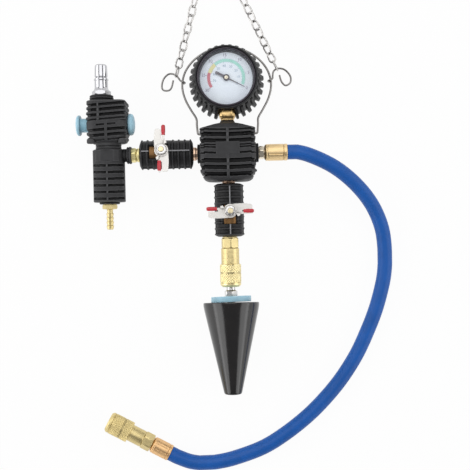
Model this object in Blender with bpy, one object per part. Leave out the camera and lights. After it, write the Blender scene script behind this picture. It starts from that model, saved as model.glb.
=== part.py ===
"""Radiator vacuum purge and coolant refill kit, lying on its back on a bench.

A pipe-thread manifold carries a vacuum gauge above, a ball valve and a quick coupler with a rubber
cone adapter below, a ball valve and a venturi vacuum generator on the left, and a refill hose on the
right. A wire bail and a chain hang the kit up. Metres, +Z up, +Y towards the gauge, +X towards the hose.
"""
import math

import bmesh
import bpy
from mathutils import Matrix, Vector

for old_object in list(bpy.data.objects):
    bpy.data.objects.remove(old_object, do_unlink=True)

# Shared sizes
AXIS_HEIGHT = 0.028
SEAT_GAP = 0.0003
RUNNING_GAP = 0.0003
CUT_OVERRUN = 0.003
SMALL_BEVEL = 0.0004
SHARP_ANGLE = math.radians(32)
VISIBLE_SIDES = 18
HIDDEN_SIDES = 12
CORNER_STEPS = 2
PIPE_THREAD_RADIUS = 0.0063
PIPE_BORE_RADIUS = 0.0035
THREAD_DEPTH = 0.009

# Manifold block and boot
MANIFOLD_WIDTH = 0.0560
MANIFOLD_DEPTH = 0.0554
MANIFOLD_BOTTOM = -0.0279
MANIFOLD_TOP = 0.0255
MANIFOLD_CORNER = 0.0050
MANIFOLD_END_ROUND = 0.0100
MANIFOLD_TOP_ROUND = 0.0030
MANIFOLD_RIBS = 8
MANIFOLD_RIB_PITCH = 0.0066
MANIFOLD_GROOVE_WIDTH = 0.0030
MANIFOLD_GROOVE_DEPTH = 0.0016
SHOULDER_WIDTH = 0.0340
SHOULDER_RISE = 0.0036
NECK_RISE = 0.0030
NECK_RADIUS = 0.0066
PAD_WIDTH = 0.0230
PAD_RISE = 0.0003
FRONT_PAD_TOP = 0.0128
FRONT_PAD_HEIGHT = 0.0134
BACK_PAD_HEIGHT = 0.0264
RIDGE_WIDTH = 0.0026
RIDGE_RISE = 0.00015
COLLAR_RADIUS = 0.0097
COLLAR_RISE = 0.0025
BLOCK_WIDTH = 0.0340
BLOCK_DEPTH = 0.0300
BLOCK_BOSS_RADIUS = 0.0088
BLOCK_REACH = 0.0262

# Pipe nipples between the manifold and its neighbours
NIPPLE_RING_RADIUS = 0.0067
NIPPLE_GROOVE_RADIUS = 0.0060
NIPPLE_GROOVE_WIDTH = 0.0010
HOSE_NIPPLE_FLATS = 0.0122
HOSE_BARB_RADIUS = 0.0045

# Ball valves
VALVE_1_STEM_X = -0.0653
VALVE_2_STEM_Y = -0.0580
VALVE_1_LEAN = math.radians(-10)
VALVE_2_LEAN = math.radians(3.5)
VALVE_SHORT_SIDE = 0.0224
VALVE_LONG_SIDE = 0.0274
VALVE_1_BOOT_START = -0.0228
VALVE_2_BOOT_START = -0.0254
VALVE_BOOT_LENGTH = 0.0532
VALVE_BOOT_RADIUS = 0.0149
VALVE_GROOVE_DEPTH = 0.0015
VALVE_GROOVE_WIDTH = 0.0027
VALVE_RIB_PITCH = 0.0061
VALVE_RIBS_PER_END = 3
VALVE_WINDOW_LENGTH = 0.0230
VALVE_WINDOW_WIDTH = 0.0160
VALVE_BODY_RADIUS = 0.0115
VALVE_END_FLATS = 0.0210
VALVE_END_LENGTH = 0.0100
VALVE_BORE_RADIUS = 0.0040
VALVE_BALL_RADIUS = 0.0080
VALVE_BONNET_RADIUS = 0.0062
VALVE_BONNET_TOP = 0.0160
STEM_RADIUS = 0.0027
STEM_FLANGE_RADIUS = 0.0042
STEM_FLANGE_THICK = 0.0010
STEM_SLOT_DEPTH = 0.0018
STEM_TANG_WIDTH = 0.0020
LEVER_THICK = 0.0015
LEVER_HUB_RADIUS = 0.0068
LEVER_PLATE_WIDTH = 0.0067
LEVER_PLATE_INSIDE = -0.0005
LEVER_PLATE_REACH = 0.0215
LEVER_PLATE_CORNER = 0.0020
LEVER_PRONG_OUTSIDE = 0.0030
LEVER_PRONG_INSIDE = 0.0009
LEVER_SLOT_START = 0.0122
LEVER_PRONG_REACH = 0.0226
GRIP_START = 0.0130
GRIP_LENGTH = 0.0108
GRIP_WIDTH = 0.0040
GRIP_HEIGHT = 0.0036
LEVER_NUT_FLATS = 0.0095
LEVER_NUT_HEIGHT = 0.0032
STEM_END_RISE = 0.0012

# Venturi vacuum generator
TAIL_X = -0.1192
HEAD_X = -0.1196
INLET_X = -0.1252
SPOOL_Y = 0.0308
HEAD_BOTTOM = 0.0120
HEAD_TOP = 0.0545
HEAD_WIDTH = 0.0428
HEAD_DEPTH = 0.0400
HEAD_CORNER = 0.0085
HEAD_END_ROUND = 0.0050
HEAD_RIBS = 9
HEAD_RIB_PITCH = 0.00485
HEAD_GROOVE_WIDTH = 0.0021
HEAD_GROOVE_DEPTH = 0.0013
HEAD_NECK_RADIUS = 0.0120
HEAD_NECK_TOP = 0.0606
HEAD_NECK_ROUND = 0.0024
SPOOL_BARREL_RADIUS = 0.0118
SPOOL_BARREL_RISE = 0.0008
CORE_WIDTH = 0.0320
CORE_DEPTH = 0.0270
CORE_BOTTOM = 0.0165
CORE_TOP = 0.0490
INLET_BOSS_RADIUS = 0.0088
INLET_BOSS_TOP = 0.0596
TAIL_TUBE_RADIUS = 0.0120
TAIL_TUBE_BOTTOM = -0.0452
TAIL_BORE_RADIUS = 0.0070
TAIL_TOP = 0.0079
TAIL_BOTTOM = -0.0464
TAIL_RADIUS = 0.0159
TAIL_RIBS = 6
TAIL_RIB_PITCH = 0.00665
TAIL_PLAIN_TOP = 0.0150
TAIL_GROOVE_WIDTH = 0.0030
TAIL_GROOVE_DEPTH = 0.0018
TAIL_COLLAR_RADIUS = 0.0101
TAIL_COLLAR_RISE = 0.0020
SIDE_BOSS_RADIUS = 0.0062
SIDE_COLLAR_RADIUS = 0.0080
SIDE_FLANGE_RADIUS = 0.0087
SIDE_FLANGE_START = -0.1006
SIDE_FLANGE_END = -0.0960
SIDE_NUT_FLATS = 0.0134
SIDE_NUT_LENGTH = 0.0048
SIDE_BORE_RADIUS = 0.0030
SIDE_THREAD_RADIUS = 0.0043
SIDE_THREAD_LENGTH = 0.0070
NOZZLE_TOP = 0.0140
NOZZLE_BOTTOM = -0.0300
NOZZLE_MOUTH_RADIUS = 0.0050
NOZZLE_THROAT_RADIUS = 0.0016
NOZZLE_THROAT_Y = 0.0080
NOZZLE_NECK_RADIUS = 0.0048
SPOOL_RADIUS = 0.0062
SPOOL_NECK_RADIUS = 0.0034
SPOOL_LAND_LENGTH = 0.0085
SPOOL_STROKE = 0.0050
BUTTON_RADIUS = 0.0103
BUTTON_RIM = 0.0042
BUTTON_DOME = 0.0010
BUTTON_NECK_RADIUS = 0.0062
BUTTON_SOCKET_DEPTH = 0.0080
BUTTON_RIGHT_RADIUS = 0.0109
BUTTON_RIGHT_THICK = 0.0054
PLUG_NOSE_RADIUS = 0.0060
PLUG_BODY_RADIUS = 0.0068
PLUG_GROOVE_RADIUS = 0.0056
PLUG_HEX_FLATS = 0.0165
PLUG_NOSE_Y = 0.0913
PLUG_TAPER_Y = 0.0794
PLUG_GROOVE_END_Y = 0.0762
PLUG_CYLINDER_END_Y = 0.0685
PLUG_HEX_TOP_Y = 0.0672
PLUG_BORE_RADIUS = 0.0032
PLUG_THREAD_RADIUS = 0.0058
PLUG_THREAD_LENGTH = 0.0085
BARB_HEX_FLATS = 0.0150
BARB_HEX_HEIGHT = 0.0046
BARB_END_Y = -0.0737
BARB_RADIUS = 0.0038
BARB_ROOT_RADIUS = 0.0030
BARB_BORE_RADIUS = 0.0019
BARB_COUNT = 3
BARB_THREAD_LENGTH = 0.0110

# Vacuum gauge, whose own axis is Z
GAUGE_CASE_RADIUS = 0.0290
GAUGE_CASE_WALL = 0.0012
GAUGE_RING_WALL = 0.0022
GAUGE_RING_RADIUS = GAUGE_CASE_RADIUS + GAUGE_RING_WALL
GAUGE_RING_ROUND = 0.0010
GAUGE_FIN_FRONT_DEPTH = 0.0023
GAUGE_FIN_FRONT_RADIUS = GAUGE_RING_RADIUS + GAUGE_FIN_FRONT_DEPTH
GAUGE_ROOT_FLARE = 0.0033
GAUGE_FIN_ROOT = GAUGE_RING_RADIUS + GAUGE_ROOT_FLARE
GAUGE_FIN_DEPTH = 0.0030
GAUGE_FIN_RADIUS = GAUGE_FIN_ROOT + GAUGE_FIN_DEPTH
GAUGE_FINS = 32
GAUGE_BOTTOM = 0.0354
GAUGE_Y = GAUGE_BOTTOM + GAUGE_FIN_RADIUS
GAUGE_BACK = 0.0140
GAUGE_FRONT = 0.0500
GAUGE_FIN_BEND = 0.0230
GAUGE_FIN_FRONT = 0.0430
GAUGE_FLOOR = 0.0026
GAUGE_BACK_LEDGE = 0.0110
GAUGE_BACK_HOLE = GAUGE_CASE_RADIUS - GAUGE_BACK_LEDGE
GAUGE_BEZEL_WIDTH = 0.0031
GAUGE_BEZEL_LIP = GAUGE_CASE_RADIUS - GAUGE_BEZEL_WIDTH
GAUGE_BEZEL_HEIGHT = 0.0036
GAUGE_BEZEL_BEVEL = 0.0008
LENS_THICK = 0.0014
LENS_MARGIN = 0.0015
LENS_RADIUS = GAUGE_CASE_RADIUS - LENS_MARGIN
DIAL_MARGIN = 0.0016
DIAL_RADIUS = GAUGE_CASE_RADIUS - DIAL_MARGIN
DIAL_THICK = 0.0008
DIAL_DEPTH = 0.0066
DIAL_HOLE = 0.0016
POINTER_ANGLE = math.radians(-27.7)
POINTER_MARGIN = 0.0076
POINTER_LENGTH = DIAL_RADIUS - POINTER_MARGIN
POINTER_TAIL = 0.0120
POINTER_TAIL_WIDTH = 0.0027
POINTER_ROOT_WIDTH = 0.0013
POINTER_TIP_WIDTH = 0.0005
POINTER_HUB_RADIUS = 0.0033
POINTER_THICK = 0.0005
POINTER_LIFT = 0.0010
POINTER_SHAFT_RADIUS = 0.0009
POINTER_CAP_RADIUS = 0.0019
POINTER_CAP_HEIGHT = 0.0009
MOVEMENT_LENGTH = 0.0180
MOVEMENT_WIDTH = 0.0080
MOVEMENT_HEIGHT = 0.0110
MOVEMENT_TOP_GAP = 0.0006
BOURDON_MARGIN = 0.0095
BOURDON_LOOP_RADIUS = GAUGE_CASE_RADIUS - BOURDON_MARGIN
BOURDON_TUBE_RADIUS = 0.0018
BOURDON_START = math.radians(-78)
BOURDON_SWEEP = math.radians(250)
SOCKET_SIDE = 0.0158
SOCKET_BOTTOM = 0.0348
SOCKET_TOP = 0.0432
SOCKET_TAPER = 0.0018
SOCKET_STEM_RADIUS = 0.0049
SOCKET_STEM_BOTTOM = 0.0160
SOCKET_BORE_RADIUS = 0.0018

# Bail, hooks and chain
BAIL_WIRE_RADIUS = 0.0011
BAIL_PIVOT_Y = 0.0212
BAIL_PIVOT_Z = 0.0130
BAIL_PIVOT_DEPTH = 0.0040
BAIL_OVER_GAUGE = 0.0391
BAIL_TOP_Y = GAUGE_Y + BAIL_OVER_GAUGE
BAIL_TOP_Z = 0.0016
BAIL_SPACING = 0.0085
BAIL_SIDE_GAP = 0.0077
BAIL_HALF_WIDTH = GAUGE_FIN_RADIUS + BAIL_SIDE_GAP
BAIL_FOOT_GAP = 0.0026
BAIL_FOOT_END = 0.5
BAIL_BEND = 0.0018
BAIL_SHARES = [
    (0.677, 0.036), (0.690, 0.110), (0.699, 0.180), (0.808, 0.273), (0.925, 0.383), (0.996, 0.499),
    (1.000, 0.604), (0.929, 0.725), (0.763, 0.840), (0.531, 0.928), (0.277, 0.981), (0.000, 1.000),
]
HOOK_WIRE_RADIUS = 0.0009
HOOK_SPACING = 0.0031
HOOK_SIZE = 0.010
HOOK_BAIL_SHARE = 0.601
HOOK_SHARES = [
    (0.10, -0.11, -0.27), (-0.15, -0.09, -0.21), (-0.26, -0.06, -0.03), (-0.19, -0.02, 0.19),
    (0.02, 0.02, 0.27), (0.23, 0.13, 0.18), (0.40, 0.38, -0.03), (0.52, 0.71, -0.19),
    (0.68, 1.00, -0.26), (1.00, 1.15, -0.29), (1.46, 1.01, -0.38), (1.90, 0.61, -0.49),
    (2.10, 0.05, -0.51), (1.92, -0.45, -0.51), (1.48, -0.67, -0.51), (1.10, -0.43, -0.51),
    (0.96, 0.05, -0.51), (0.95, 0.35, -0.51),
]
CHAIN_EYE_ACROSS = 0.0080
CHAIN_EYE_ALONG = 0.0106
CHAIN_APEX_X = -0.0080
CHAIN_APEX_Y = 0.2360
CHAIN_HEIGHT = 0.0036
LINK_LENGTH = 0.0112
LINK_WIDTH = 0.0068
LINK_WIRE_RADIUS = 0.0007
LINK_PITCH = 0.0093
LINK_TILT = math.radians(42)

# Lower quick coupler and cone adapter
COUPLER_TOP = -0.0847
COUPLER_THREAD_LENGTH = 0.0090
COUPLER_HEX_END = -0.0947
COUPLER_HEX_FLATS = 0.0176
COUPLER_BODY_RADIUS = 0.00895
COUPLER_SLEEVE_START = -0.1107
COUPLER_SLEEVE_END = -0.1333
COUPLER_SLEEVE_RADIUS = 0.01055
COUPLER_STEP_Y = -0.1150
COUPLER_NECK_RADIUS = 0.0077
COUPLER_BODY_END = -0.1322
COUPLER_SOCKET_RADIUS = 0.0050
COUPLER_SOCKET_DEPTH = 0.0190
COUPLER_STROKE = 0.0040
KNURL_GROOVE_DEPTH = 0.0006
KNURL_GROOVE_WIDTH = 0.0012
SLEEVE_CHAMFER = 0.0012
SPRING_WIRE_RADIUS = 0.00035
SPRING_TURNS = 2
SPRING_SOLID_LENGTH = 0.0015
SPRING_STEPS_PER_TURN = 10
ADAPTER_STEM_RADIUS = 0.0044
ADAPTER_GROOVE_RADIUS = 0.0036
ADAPTER_STEM_INSIDE = 0.0170
ADAPTER_HEX_TOP = -0.1373
ADAPTER_HEX_FLATS = 0.0124
ADAPTER_HEX_END = -0.1427
ADAPTER_STUD_RADIUS = 0.0040
ADAPTER_STUD_LENGTH = 0.0240
ADAPTER_BORE_RADIUS = 0.0022
WASHER_RADIUS = 0.0200
WASHER_THICK = 0.0058
CONE_LIP_RADIUS = 0.0280
CONE_LIP_HEIGHT = 0.0072
CONE_LIP_ROUND = 0.0006
CONE_TIP_RADIUS = 0.0087
CONE_TIP_Y = -0.2404
CONE_TOP_WALL = 0.0140
CONE_BORE_RADIUS = 0.0056

# Refill hose, its ferrules and its far coupler
HOSE_RADIUS = 0.00745
FERRULE_RADIUS = 0.0083
FERRULE_NECK_RADIUS = 0.0064
FERRULE_START = 0.0362
FERRULE_END = 0.0591
FERRULE_CHAMFER = 0.0014
FERRULE_GROOVE_RADIUS = 0.0077
FERRULE_GROOVE_WIDTH = 0.0012
HOSE_SPACING = 0.026
HOSE_ROUTE = [
    (0.0594, 0.0000, 0.0280), (0.0690, 0.0000, 0.0280), (0.0785, -0.0024, 0.0275),
    (0.0933, -0.0085, 0.0260), (0.1084, -0.0168, 0.0236), (0.1237, -0.0288, 0.0203),
    (0.1379, -0.0440, 0.0166), (0.1485, -0.0608, 0.0132), (0.1557, -0.0808, 0.0102),
    (0.1580, -0.1036, 0.0082), (0.1572, -0.1220, 0.0078), (0.1543, -0.1375, 0.0077),
    (0.1477, -0.1601, 0.0077), (0.1387, -0.1822, 0.0077), (0.1268, -0.2065, 0.0077),
    (0.1109, -0.2306, 0.0077), (0.0935, -0.2510, 0.0077), (0.0747, -0.2690, 0.0077),
    (0.0521, -0.2861, 0.0077), (0.0288, -0.2997, 0.0077), (0.0002, -0.3096, 0.0078),
    (-0.0184, -0.3133, 0.0081), (-0.0300, -0.3141, 0.0087), (-0.0373, -0.3135, 0.0092),
    (-0.0471, -0.3113, 0.0099), (-0.0589, -0.3063, 0.0108), (-0.0655, -0.3027, 0.0108),
]
FAR_ANGLE = math.radians(151.5)
FAR_AXIS_HEIGHT = 0.0108
FAR_FERRULE_LENGTH = 0.0203
FAR_HEX_LENGTH = 0.0104
FAR_HEX_FLATS = 0.0158
FAR_BODY_RADIUS = 0.0084
FAR_SLEEVE_GAP = 0.0150
FAR_SLEEVE_LENGTH = 0.0218
FAR_SLEEVE_RADIUS = 0.0106
FAR_STEP_SETBACK = 0.0042
FAR_NECK_RADIUS = 0.0071
FAR_BODY_SETBACK = 0.0012
FAR_SOCKET_RADIUS = 0.0052
FAR_SOCKET_DEPTH = 0.0160
FAR_NIPPLE_GRIP = 0.0150
FAR_STROKE = 0.0040

# Finishes: colour, roughness, metallic
RUBBER = (0.020, 0.020, 0.022), 0.62, 0.0
CONE_RUBBER = (0.012, 0.011, 0.011), 0.22, 0.0
BLACK_METAL = (0.030, 0.030, 0.032), 0.45, 0.6
BRASS = (0.78, 0.55, 0.20), 0.28, 1.0
RED_BRASS = (0.70, 0.40, 0.22), 0.30, 1.0
CHROME = (0.78, 0.78, 0.80), 0.15, 1.0
STEEL = (0.62, 0.62, 0.64), 0.30, 1.0
NICKEL = (0.80, 0.78, 0.76), 0.35, 0.9
RED_VINYL = (0.58, 0.03, 0.05), 0.35, 0.0
BLUE_PLASTIC = (0.28, 0.55, 0.74), 0.40, 0.0
BLUE_RUBBER = (0.028, 0.130, 0.480), 0.45, 0.0
DIAL_WHITE = (0.76, 0.80, 0.90), 0.50, 0.0
GLASS = (0.85, 0.88, 0.90), 0.05, 0.0
DARK_PAINT = (0.08, 0.08, 0.09), 0.50, 0.0

# Directions in which a piece's own Z axis can point
ALONG_X = Matrix.Rotation(math.radians(90), 4, "Y")
ALONG_Y = Matrix.Rotation(math.radians(-90), 4, "X")
UPRIGHT = Matrix.Identity(4)
# Bores that cross others are turned a little, so that the facets of the two don't line up
CROSSING = Matrix.Rotation(math.radians(8), 4, "Z")


def finish(name, look):
    colour, roughness, metallic = look
    material = bpy.data.materials.new(name)
    material.use_nodes = True
    shader = material.node_tree.nodes["Principled BSDF"]
    shader.inputs["Base Color"].default_value = (*colour, 1.0)
    shader.inputs["Roughness"].default_value = roughness
    shader.inputs["Metallic"].default_value = metallic
    return material


def add_object(name, data, look, origin, facing, parent=None):
    """Put mesh or curve data in the scene as one named piece with its own material."""
    piece = bpy.data.objects.new(name, data)
    bpy.context.scene.collection.objects.link(piece)
    piece.matrix_local = Matrix.Translation(origin) @ facing
    piece.parent = parent
    if look is not None:
        data.materials.append(finish(name, look))
    return piece


def as_cutter(piece):
    piece.hide_render = True
    piece.display_type = "WIRE"
    return piece


def combine(piece, other, operation):
    step = piece.modifiers.new(other.name, "BOOLEAN")
    step.operation = operation
    step.solver = "EXACT"
    step.object = as_cutter(other)


def cut(piece, *cutters):
    for cutter in cutters:
        combine(piece, cutter, "DIFFERENCE")


def fuse(piece, *others):
    for other in others:
        combine(piece, other, "UNION")


def circle(radius, sides):
    turn = 2 * math.pi / sides
    return [(radius * math.cos(turn * i), radius * math.sin(turn * i)) for i in range(sides)]


def hexagon(flats, sides):
    """A hexagon's outline with as many points as a circle's, its corners among them."""
    points = []
    for i in range(sides):
        angle = 2 * math.pi * i / sides
        off_flat = (angle % math.radians(60)) - math.radians(30)
        radius = flats / 2 / math.cos(off_flat)
        points.append((radius * math.cos(angle), radius * math.sin(angle)))
    return points


def slab(width, depth, corner):
    """A rounded rectangle, CORNER_STEPS steps round each corner."""
    points = []
    for quarter in range(4):
        side_x = 1 if quarter in (0, 3) else -1
        side_y = 1 if quarter in (0, 1) else -1
        for step in range(CORNER_STEPS + 1):
            angle = math.radians(90) * (quarter + step / CORNER_STEPS)
            points.append((side_x * (width / 2 - corner) + corner * math.cos(angle),
                           side_y * (depth / 2 - corner) + corner * math.sin(angle)))
    return points


def shade(mesh):
    mesh.shade_smooth()
    mesh.set_sharp_from_angle(angle=SHARP_ANGLE)


def mesh_of_rings(name, rings, looped=False):
    """Skin rings of 3-D points, one after another. Open chains get end faces; looped ones join up."""
    work = bmesh.new()
    made = [[work.verts.new(point) for point in ring] for ring in rings]
    pairs = list(zip(made, made[1:]))
    if looped:
        pairs.append((made[-1], made[0]))
    for low, high in pairs:
        count = len(low)
        for i in range(count):
            work.faces.new((low[i], low[(i + 1) % count], high[(i + 1) % count], high[i]))
    if not looped:
        work.faces.new(made[0][::-1])
        work.faces.new(made[-1])
    bmesh.ops.recalc_face_normals(work, faces=work.faces[:])
    mesh = bpy.data.meshes.new(name)
    work.to_mesh(mesh)
    work.free()
    shade(mesh)
    return mesh


def lofted(name, stations, look, origin, facing, parent=None, looped=False):
    """A body through outlines at heights along its own Z axis."""
    rings = [[(x, y, height) for x, y in outline] for height, outline in stations]
    return add_object(name, mesh_of_rings(name, rings, looped), look, origin, facing, parent)


def turned(name, profile, look, origin, facing, parent=None, sides=VISIBLE_SIDES, bore=None):
    """A round body. Profile and bore are lists of (height, radius or outline), bottom to top."""
    def outline_of(size):
        return size if isinstance(size, list) else circle(size, sides)

    stations = [(height, outline_of(size)) for height, size in profile]
    if bore:
        stations += [(height, outline_of(size)) for height, size in reversed(bore)]
    return lofted(name, stations, look, origin, facing, parent, looped=bool(bore))


def cylinder(name, radius, start, end, origin, facing, parent=None, sides=HIDDEN_SIDES):
    """A plain round cutter or boss between two heights on its own Z axis."""
    return turned(name, [(start, radius), (end, radius)], None, origin, facing, parent, sides)


def block(name, low, high, parent=None):
    """A plain box between two corners, for cutting and for bosses."""
    rings = []
    for z in (low[2], high[2]):
        rings.append([(low[0], low[1], z), (high[0], low[1], z), (high[0], high[1], z), (low[0], high[1], z)])
    return add_object(name, mesh_of_rings(name, rings), None, (0, 0, 0), UPRIGHT, parent)


def plate(name, outline, low, high, look, origin, facing, parent=None):
    return lofted(name, [(low, outline), (high, outline)], look, origin, facing, parent)


def smooth_path(points, spacing):
    """Evenly spaced points on a smooth curve through the given ones."""
    knots = [Vector(point) for point in points]
    knots = [2 * knots[0] - knots[1]] + knots + [2 * knots[-1] - knots[-2]]
    fine = []
    fine_steps = 24
    for before, start, end, after in zip(knots, knots[1:], knots[2:], knots[3:]):
        for step in range(fine_steps):
            t = step / fine_steps
            bend = 2 * before - 5 * start + 4 * end - after
            twist = 3 * start - before - 3 * end + after
            fine.append(0.5 * (2 * start + (end - before) * t + bend * t * t + twist * t * t * t))
    fine.append(knots[-2])
    reach = [0.0]
    for a, b in zip(fine, fine[1:]):
        reach.append(reach[-1] + (b - a).length)
    count = max(2, round(reach[-1] / spacing))
    path = []
    place = 0
    for i in range(count + 1):
        goal = reach[-1] * i / count
        while place < len(reach) - 2 and reach[place + 1] < goal:
            place += 1
        share = (goal - reach[place]) / (reach[place + 1] - reach[place])
        path.append(fine[place].lerp(fine[place + 1], share))
    return path


def wire(name, points, radius, look, origin=(0, 0, 0), resolution=1):
    """A round wire or tube along points given from its origin."""
    curve = bpy.data.curves.new(name, "CURVE")
    curve.dimensions = "3D"
    curve.bevel_depth = radius
    curve.bevel_resolution = resolution
    curve.use_fill_caps = True
    spline = curve.splines.new("POLY")
    spline.points.add(len(points) - 1)
    for slot, point in zip(spline.points, points):
        slot.co = (*point, 1.0)
        slot.radius = 1.0
    return add_object(name, curve, look, origin, UPRIGHT)


def ribbed(bottom, top, groove_starts, groove_width, groove_depth):
    """Heights and insets of a surface with V-bottomed grooves, bottom to top."""
    stations = [(bottom, 0.0)]
    for start in groove_starts:
        stations.append((start, 0.0))
        stations.append((start + groove_width / 2, groove_depth))
        stations.append((start + groove_width, 0.0))
    stations.append((top, 0.0))
    return stations


def end_inset(distance, rounding):
    """How far a rounded end lies inside the full size, at a distance from the end."""
    if distance >= rounding:
        return 0.0
    return rounding - math.sqrt(max(0.0, rounding ** 2 - (rounding - distance) ** 2))


def make_manifold():
    centre = (0, 0, AXIS_HEIGHT)
    half_width = BLOCK_WIDTH / 2
    half_depth = BLOCK_DEPTH / 2
    core = plate("manifold_block", slab(BLOCK_WIDTH, BLOCK_WIDTH, SMALL_BEVEL * 4), -half_depth, half_depth,
                 BRASS, centre, UPRIGHT)
    fuse(core,
         cylinder("block_boss_x", BLOCK_BOSS_RADIUS, -BLOCK_REACH, BLOCK_REACH, centre, ALONG_X),
         cylinder("block_boss_y", BLOCK_BOSS_RADIUS, -BLOCK_REACH, MANIFOLD_TOP, centre, ALONG_Y))
    through = BLOCK_REACH + CUT_OVERRUN
    port = PIPE_THREAD_RADIUS + SEAT_GAP
    port_floor = BLOCK_REACH - THREAD_DEPTH
    gauge_port = SOCKET_STEM_RADIUS + SEAT_GAP
    cut(core,
        cylinder("block_port_right", port, port_floor, through, centre, ALONG_X),
        cylinder("block_port_left", port, -through, -port_floor, centre, ALONG_X),
        cylinder("block_port_lower", port, -through, -port_floor, centre, ALONG_Y),
        cylinder("block_port_gauge", gauge_port, SOCKET_STEM_BOTTOM - SEAT_GAP, through, centre, ALONG_Y),
        cylinder("block_bore_x", PIPE_BORE_RADIUS, -through, through, centre, ALONG_X),
        cylinder("block_bore_y", PIPE_BORE_RADIUS, -through, through, centre, ALONG_Y @ CROSSING))

    first_groove = MANIFOLD_TOP - (MANIFOLD_RIBS - 1) * MANIFOLD_RIB_PITCH - MANIFOLD_GROOVE_WIDTH
    grooves = [first_groove + i * MANIFOLD_RIB_PITCH for i in range(MANIFOLD_RIBS - 1)]
    outer = []
    rounding_steps = [0.0, 0.15, 0.45]
    end_stations = [(MANIFOLD_BOTTOM + share * MANIFOLD_END_ROUND, 0.0) for share in rounding_steps]
    side_stations = ribbed(MANIFOLD_BOTTOM, MANIFOLD_TOP, grooves, MANIFOLD_GROOVE_WIDTH,
                           MANIFOLD_GROOVE_DEPTH)
    stations = sorted(end_stations[1:] + side_stations[:-1])
    top_start = MANIFOLD_TOP - MANIFOLD_TOP_ROUND
    stations += [(top_start, 0.0), (MANIFOLD_TOP - MANIFOLD_TOP_ROUND / 3, MANIFOLD_TOP_ROUND / 3),
                 (MANIFOLD_TOP, MANIFOLD_TOP_ROUND)]
    for height, inset in stations:
        inset += end_inset(height - MANIFOLD_BOTTOM, MANIFOLD_END_ROUND) * 0.8
        outer.append((height, slab(MANIFOLD_WIDTH - 2 * inset, MANIFOLD_DEPTH - 2 * inset,
                                   MANIFOLD_CORNER)))
    shoulder = slab(SHOULDER_WIDTH, SHOULDER_WIDTH, MANIFOLD_CORNER)
    neck = slab(2 * NECK_RADIUS, 2 * NECK_RADIUS, NECK_RADIUS - SMALL_BEVEL)
    shoulder_top = MANIFOLD_TOP + SHOULDER_RISE
    outer += [(MANIFOLD_TOP + MANIFOLD_TOP_ROUND / 3, shoulder), (shoulder_top, shoulder),
              (shoulder_top + SMALL_BEVEL, neck), (shoulder_top + NECK_RISE, neck)]
    boot = lofted("manifold_boot", outer, RUBBER, centre, ALONG_Y)
    pad_half = PAD_WIDTH / 2
    face = AXIS_HEIGHT + MANIFOLD_DEPTH / 2
    front_inside = AXIS_HEIGHT + half_depth + CUT_OVERRUN
    ridge_bottom = MANIFOLD_BOTTOM + MANIFOLD_END_ROUND / 2
    fuse(boot,
         block("boot_front_pad", (-pad_half, FRONT_PAD_TOP - FRONT_PAD_HEIGHT, front_inside),
               (pad_half, FRONT_PAD_TOP, face + PAD_RISE)),
         block("boot_back_pad", (-pad_half, -BACK_PAD_HEIGHT / 2, 0.0),
               (pad_half, BACK_PAD_HEIGHT / 2, AXIS_HEIGHT - half_depth - CUT_OVERRUN)),
         block("boot_ridge", (-RIDGE_WIDTH / 2, ridge_bottom, front_inside),
               (RIDGE_WIDTH / 2, top_start, face + RIDGE_RISE)),
         cylinder("boot_collars", COLLAR_RADIUS, -MANIFOLD_WIDTH / 2 - COLLAR_RISE,
                  MANIFOLD_WIDTH / 2 + COLLAR_RISE, centre, ALONG_X, sides=VISIBLE_SIDES))
    gap = SEAT_GAP
    boss_hole = BLOCK_BOSS_RADIUS + gap
    bail_end = MANIFOLD_WIDTH / 2 - BAIL_PIVOT_DEPTH
    bail_hole = BAIL_WIRE_RADIUS + RUNNING_GAP
    outside = MANIFOLD_WIDTH / 2 + CUT_OVERRUN
    pivot = (0, BAIL_PIVOT_Y, BAIL_PIVOT_Z)
    cut(boot,
        block("boot_cavity", (-half_width - gap, -half_width - gap, AXIS_HEIGHT - half_depth - gap),
              (half_width + gap, half_width + gap, AXIS_HEIGHT + half_depth + gap)),
        cylinder("boot_hole_x", boss_hole, -BLOCK_REACH - gap, BLOCK_REACH + gap, centre, ALONG_X),
        cylinder("boot_tunnel_x", NIPPLE_RING_RADIUS + gap, -outside - CUT_OVERRUN, outside + CUT_OVERRUN,
                 centre, ALONG_X, sides=VISIBLE_SIDES),
        cylinder("boot_hole_y", boss_hole, -BLOCK_REACH - gap, MANIFOLD_TOP + gap, centre, ALONG_Y),
        cylinder("boot_tunnel_y", NIPPLE_RING_RADIUS + gap, MANIFOLD_BOTTOM - CUT_OVERRUN, 0.0,
                 centre, ALONG_Y, sides=VISIBLE_SIDES),
        cylinder("boot_tunnel_neck", SOCKET_STEM_RADIUS + gap, 0.0, shoulder_top + NECK_RISE + CUT_OVERRUN,
                 centre, ALONG_Y),
        cylinder("bail_hole_right", bail_hole, bail_end - gap, outside, pivot, ALONG_X, sides=HIDDEN_SIDES),
        cylinder("bail_hole_left", bail_hole, -outside, -bail_end + gap, pivot, ALONG_X, sides=HIDDEN_SIDES))


def make_nipple(name, near, far, ring_start, ring_end, facing):
    """A threaded nipple with two turned rings where it shows, from near to far along its axis."""
    middle = (ring_start + ring_end) / 2
    groove = NIPPLE_GROOVE_WIDTH / 2
    profile = [
        (near, PIPE_THREAD_RADIUS), (ring_start, PIPE_THREAD_RADIUS), (ring_start, NIPPLE_RING_RADIUS),
        (middle - groove, NIPPLE_RING_RADIUS), (middle, NIPPLE_GROOVE_RADIUS),
        (middle + groove, NIPPLE_RING_RADIUS), (ring_end, NIPPLE_RING_RADIUS),
        (ring_end, PIPE_THREAD_RADIUS), (far, PIPE_THREAD_RADIUS),
    ]
    bore = [(near, PIPE_BORE_RADIUS), (far, PIPE_BORE_RADIUS)]
    return turned(name, profile, RED_BRASS, (0, 0, AXIS_HEIGHT), facing, sides=HIDDEN_SIDES, bore=bore)


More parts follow.
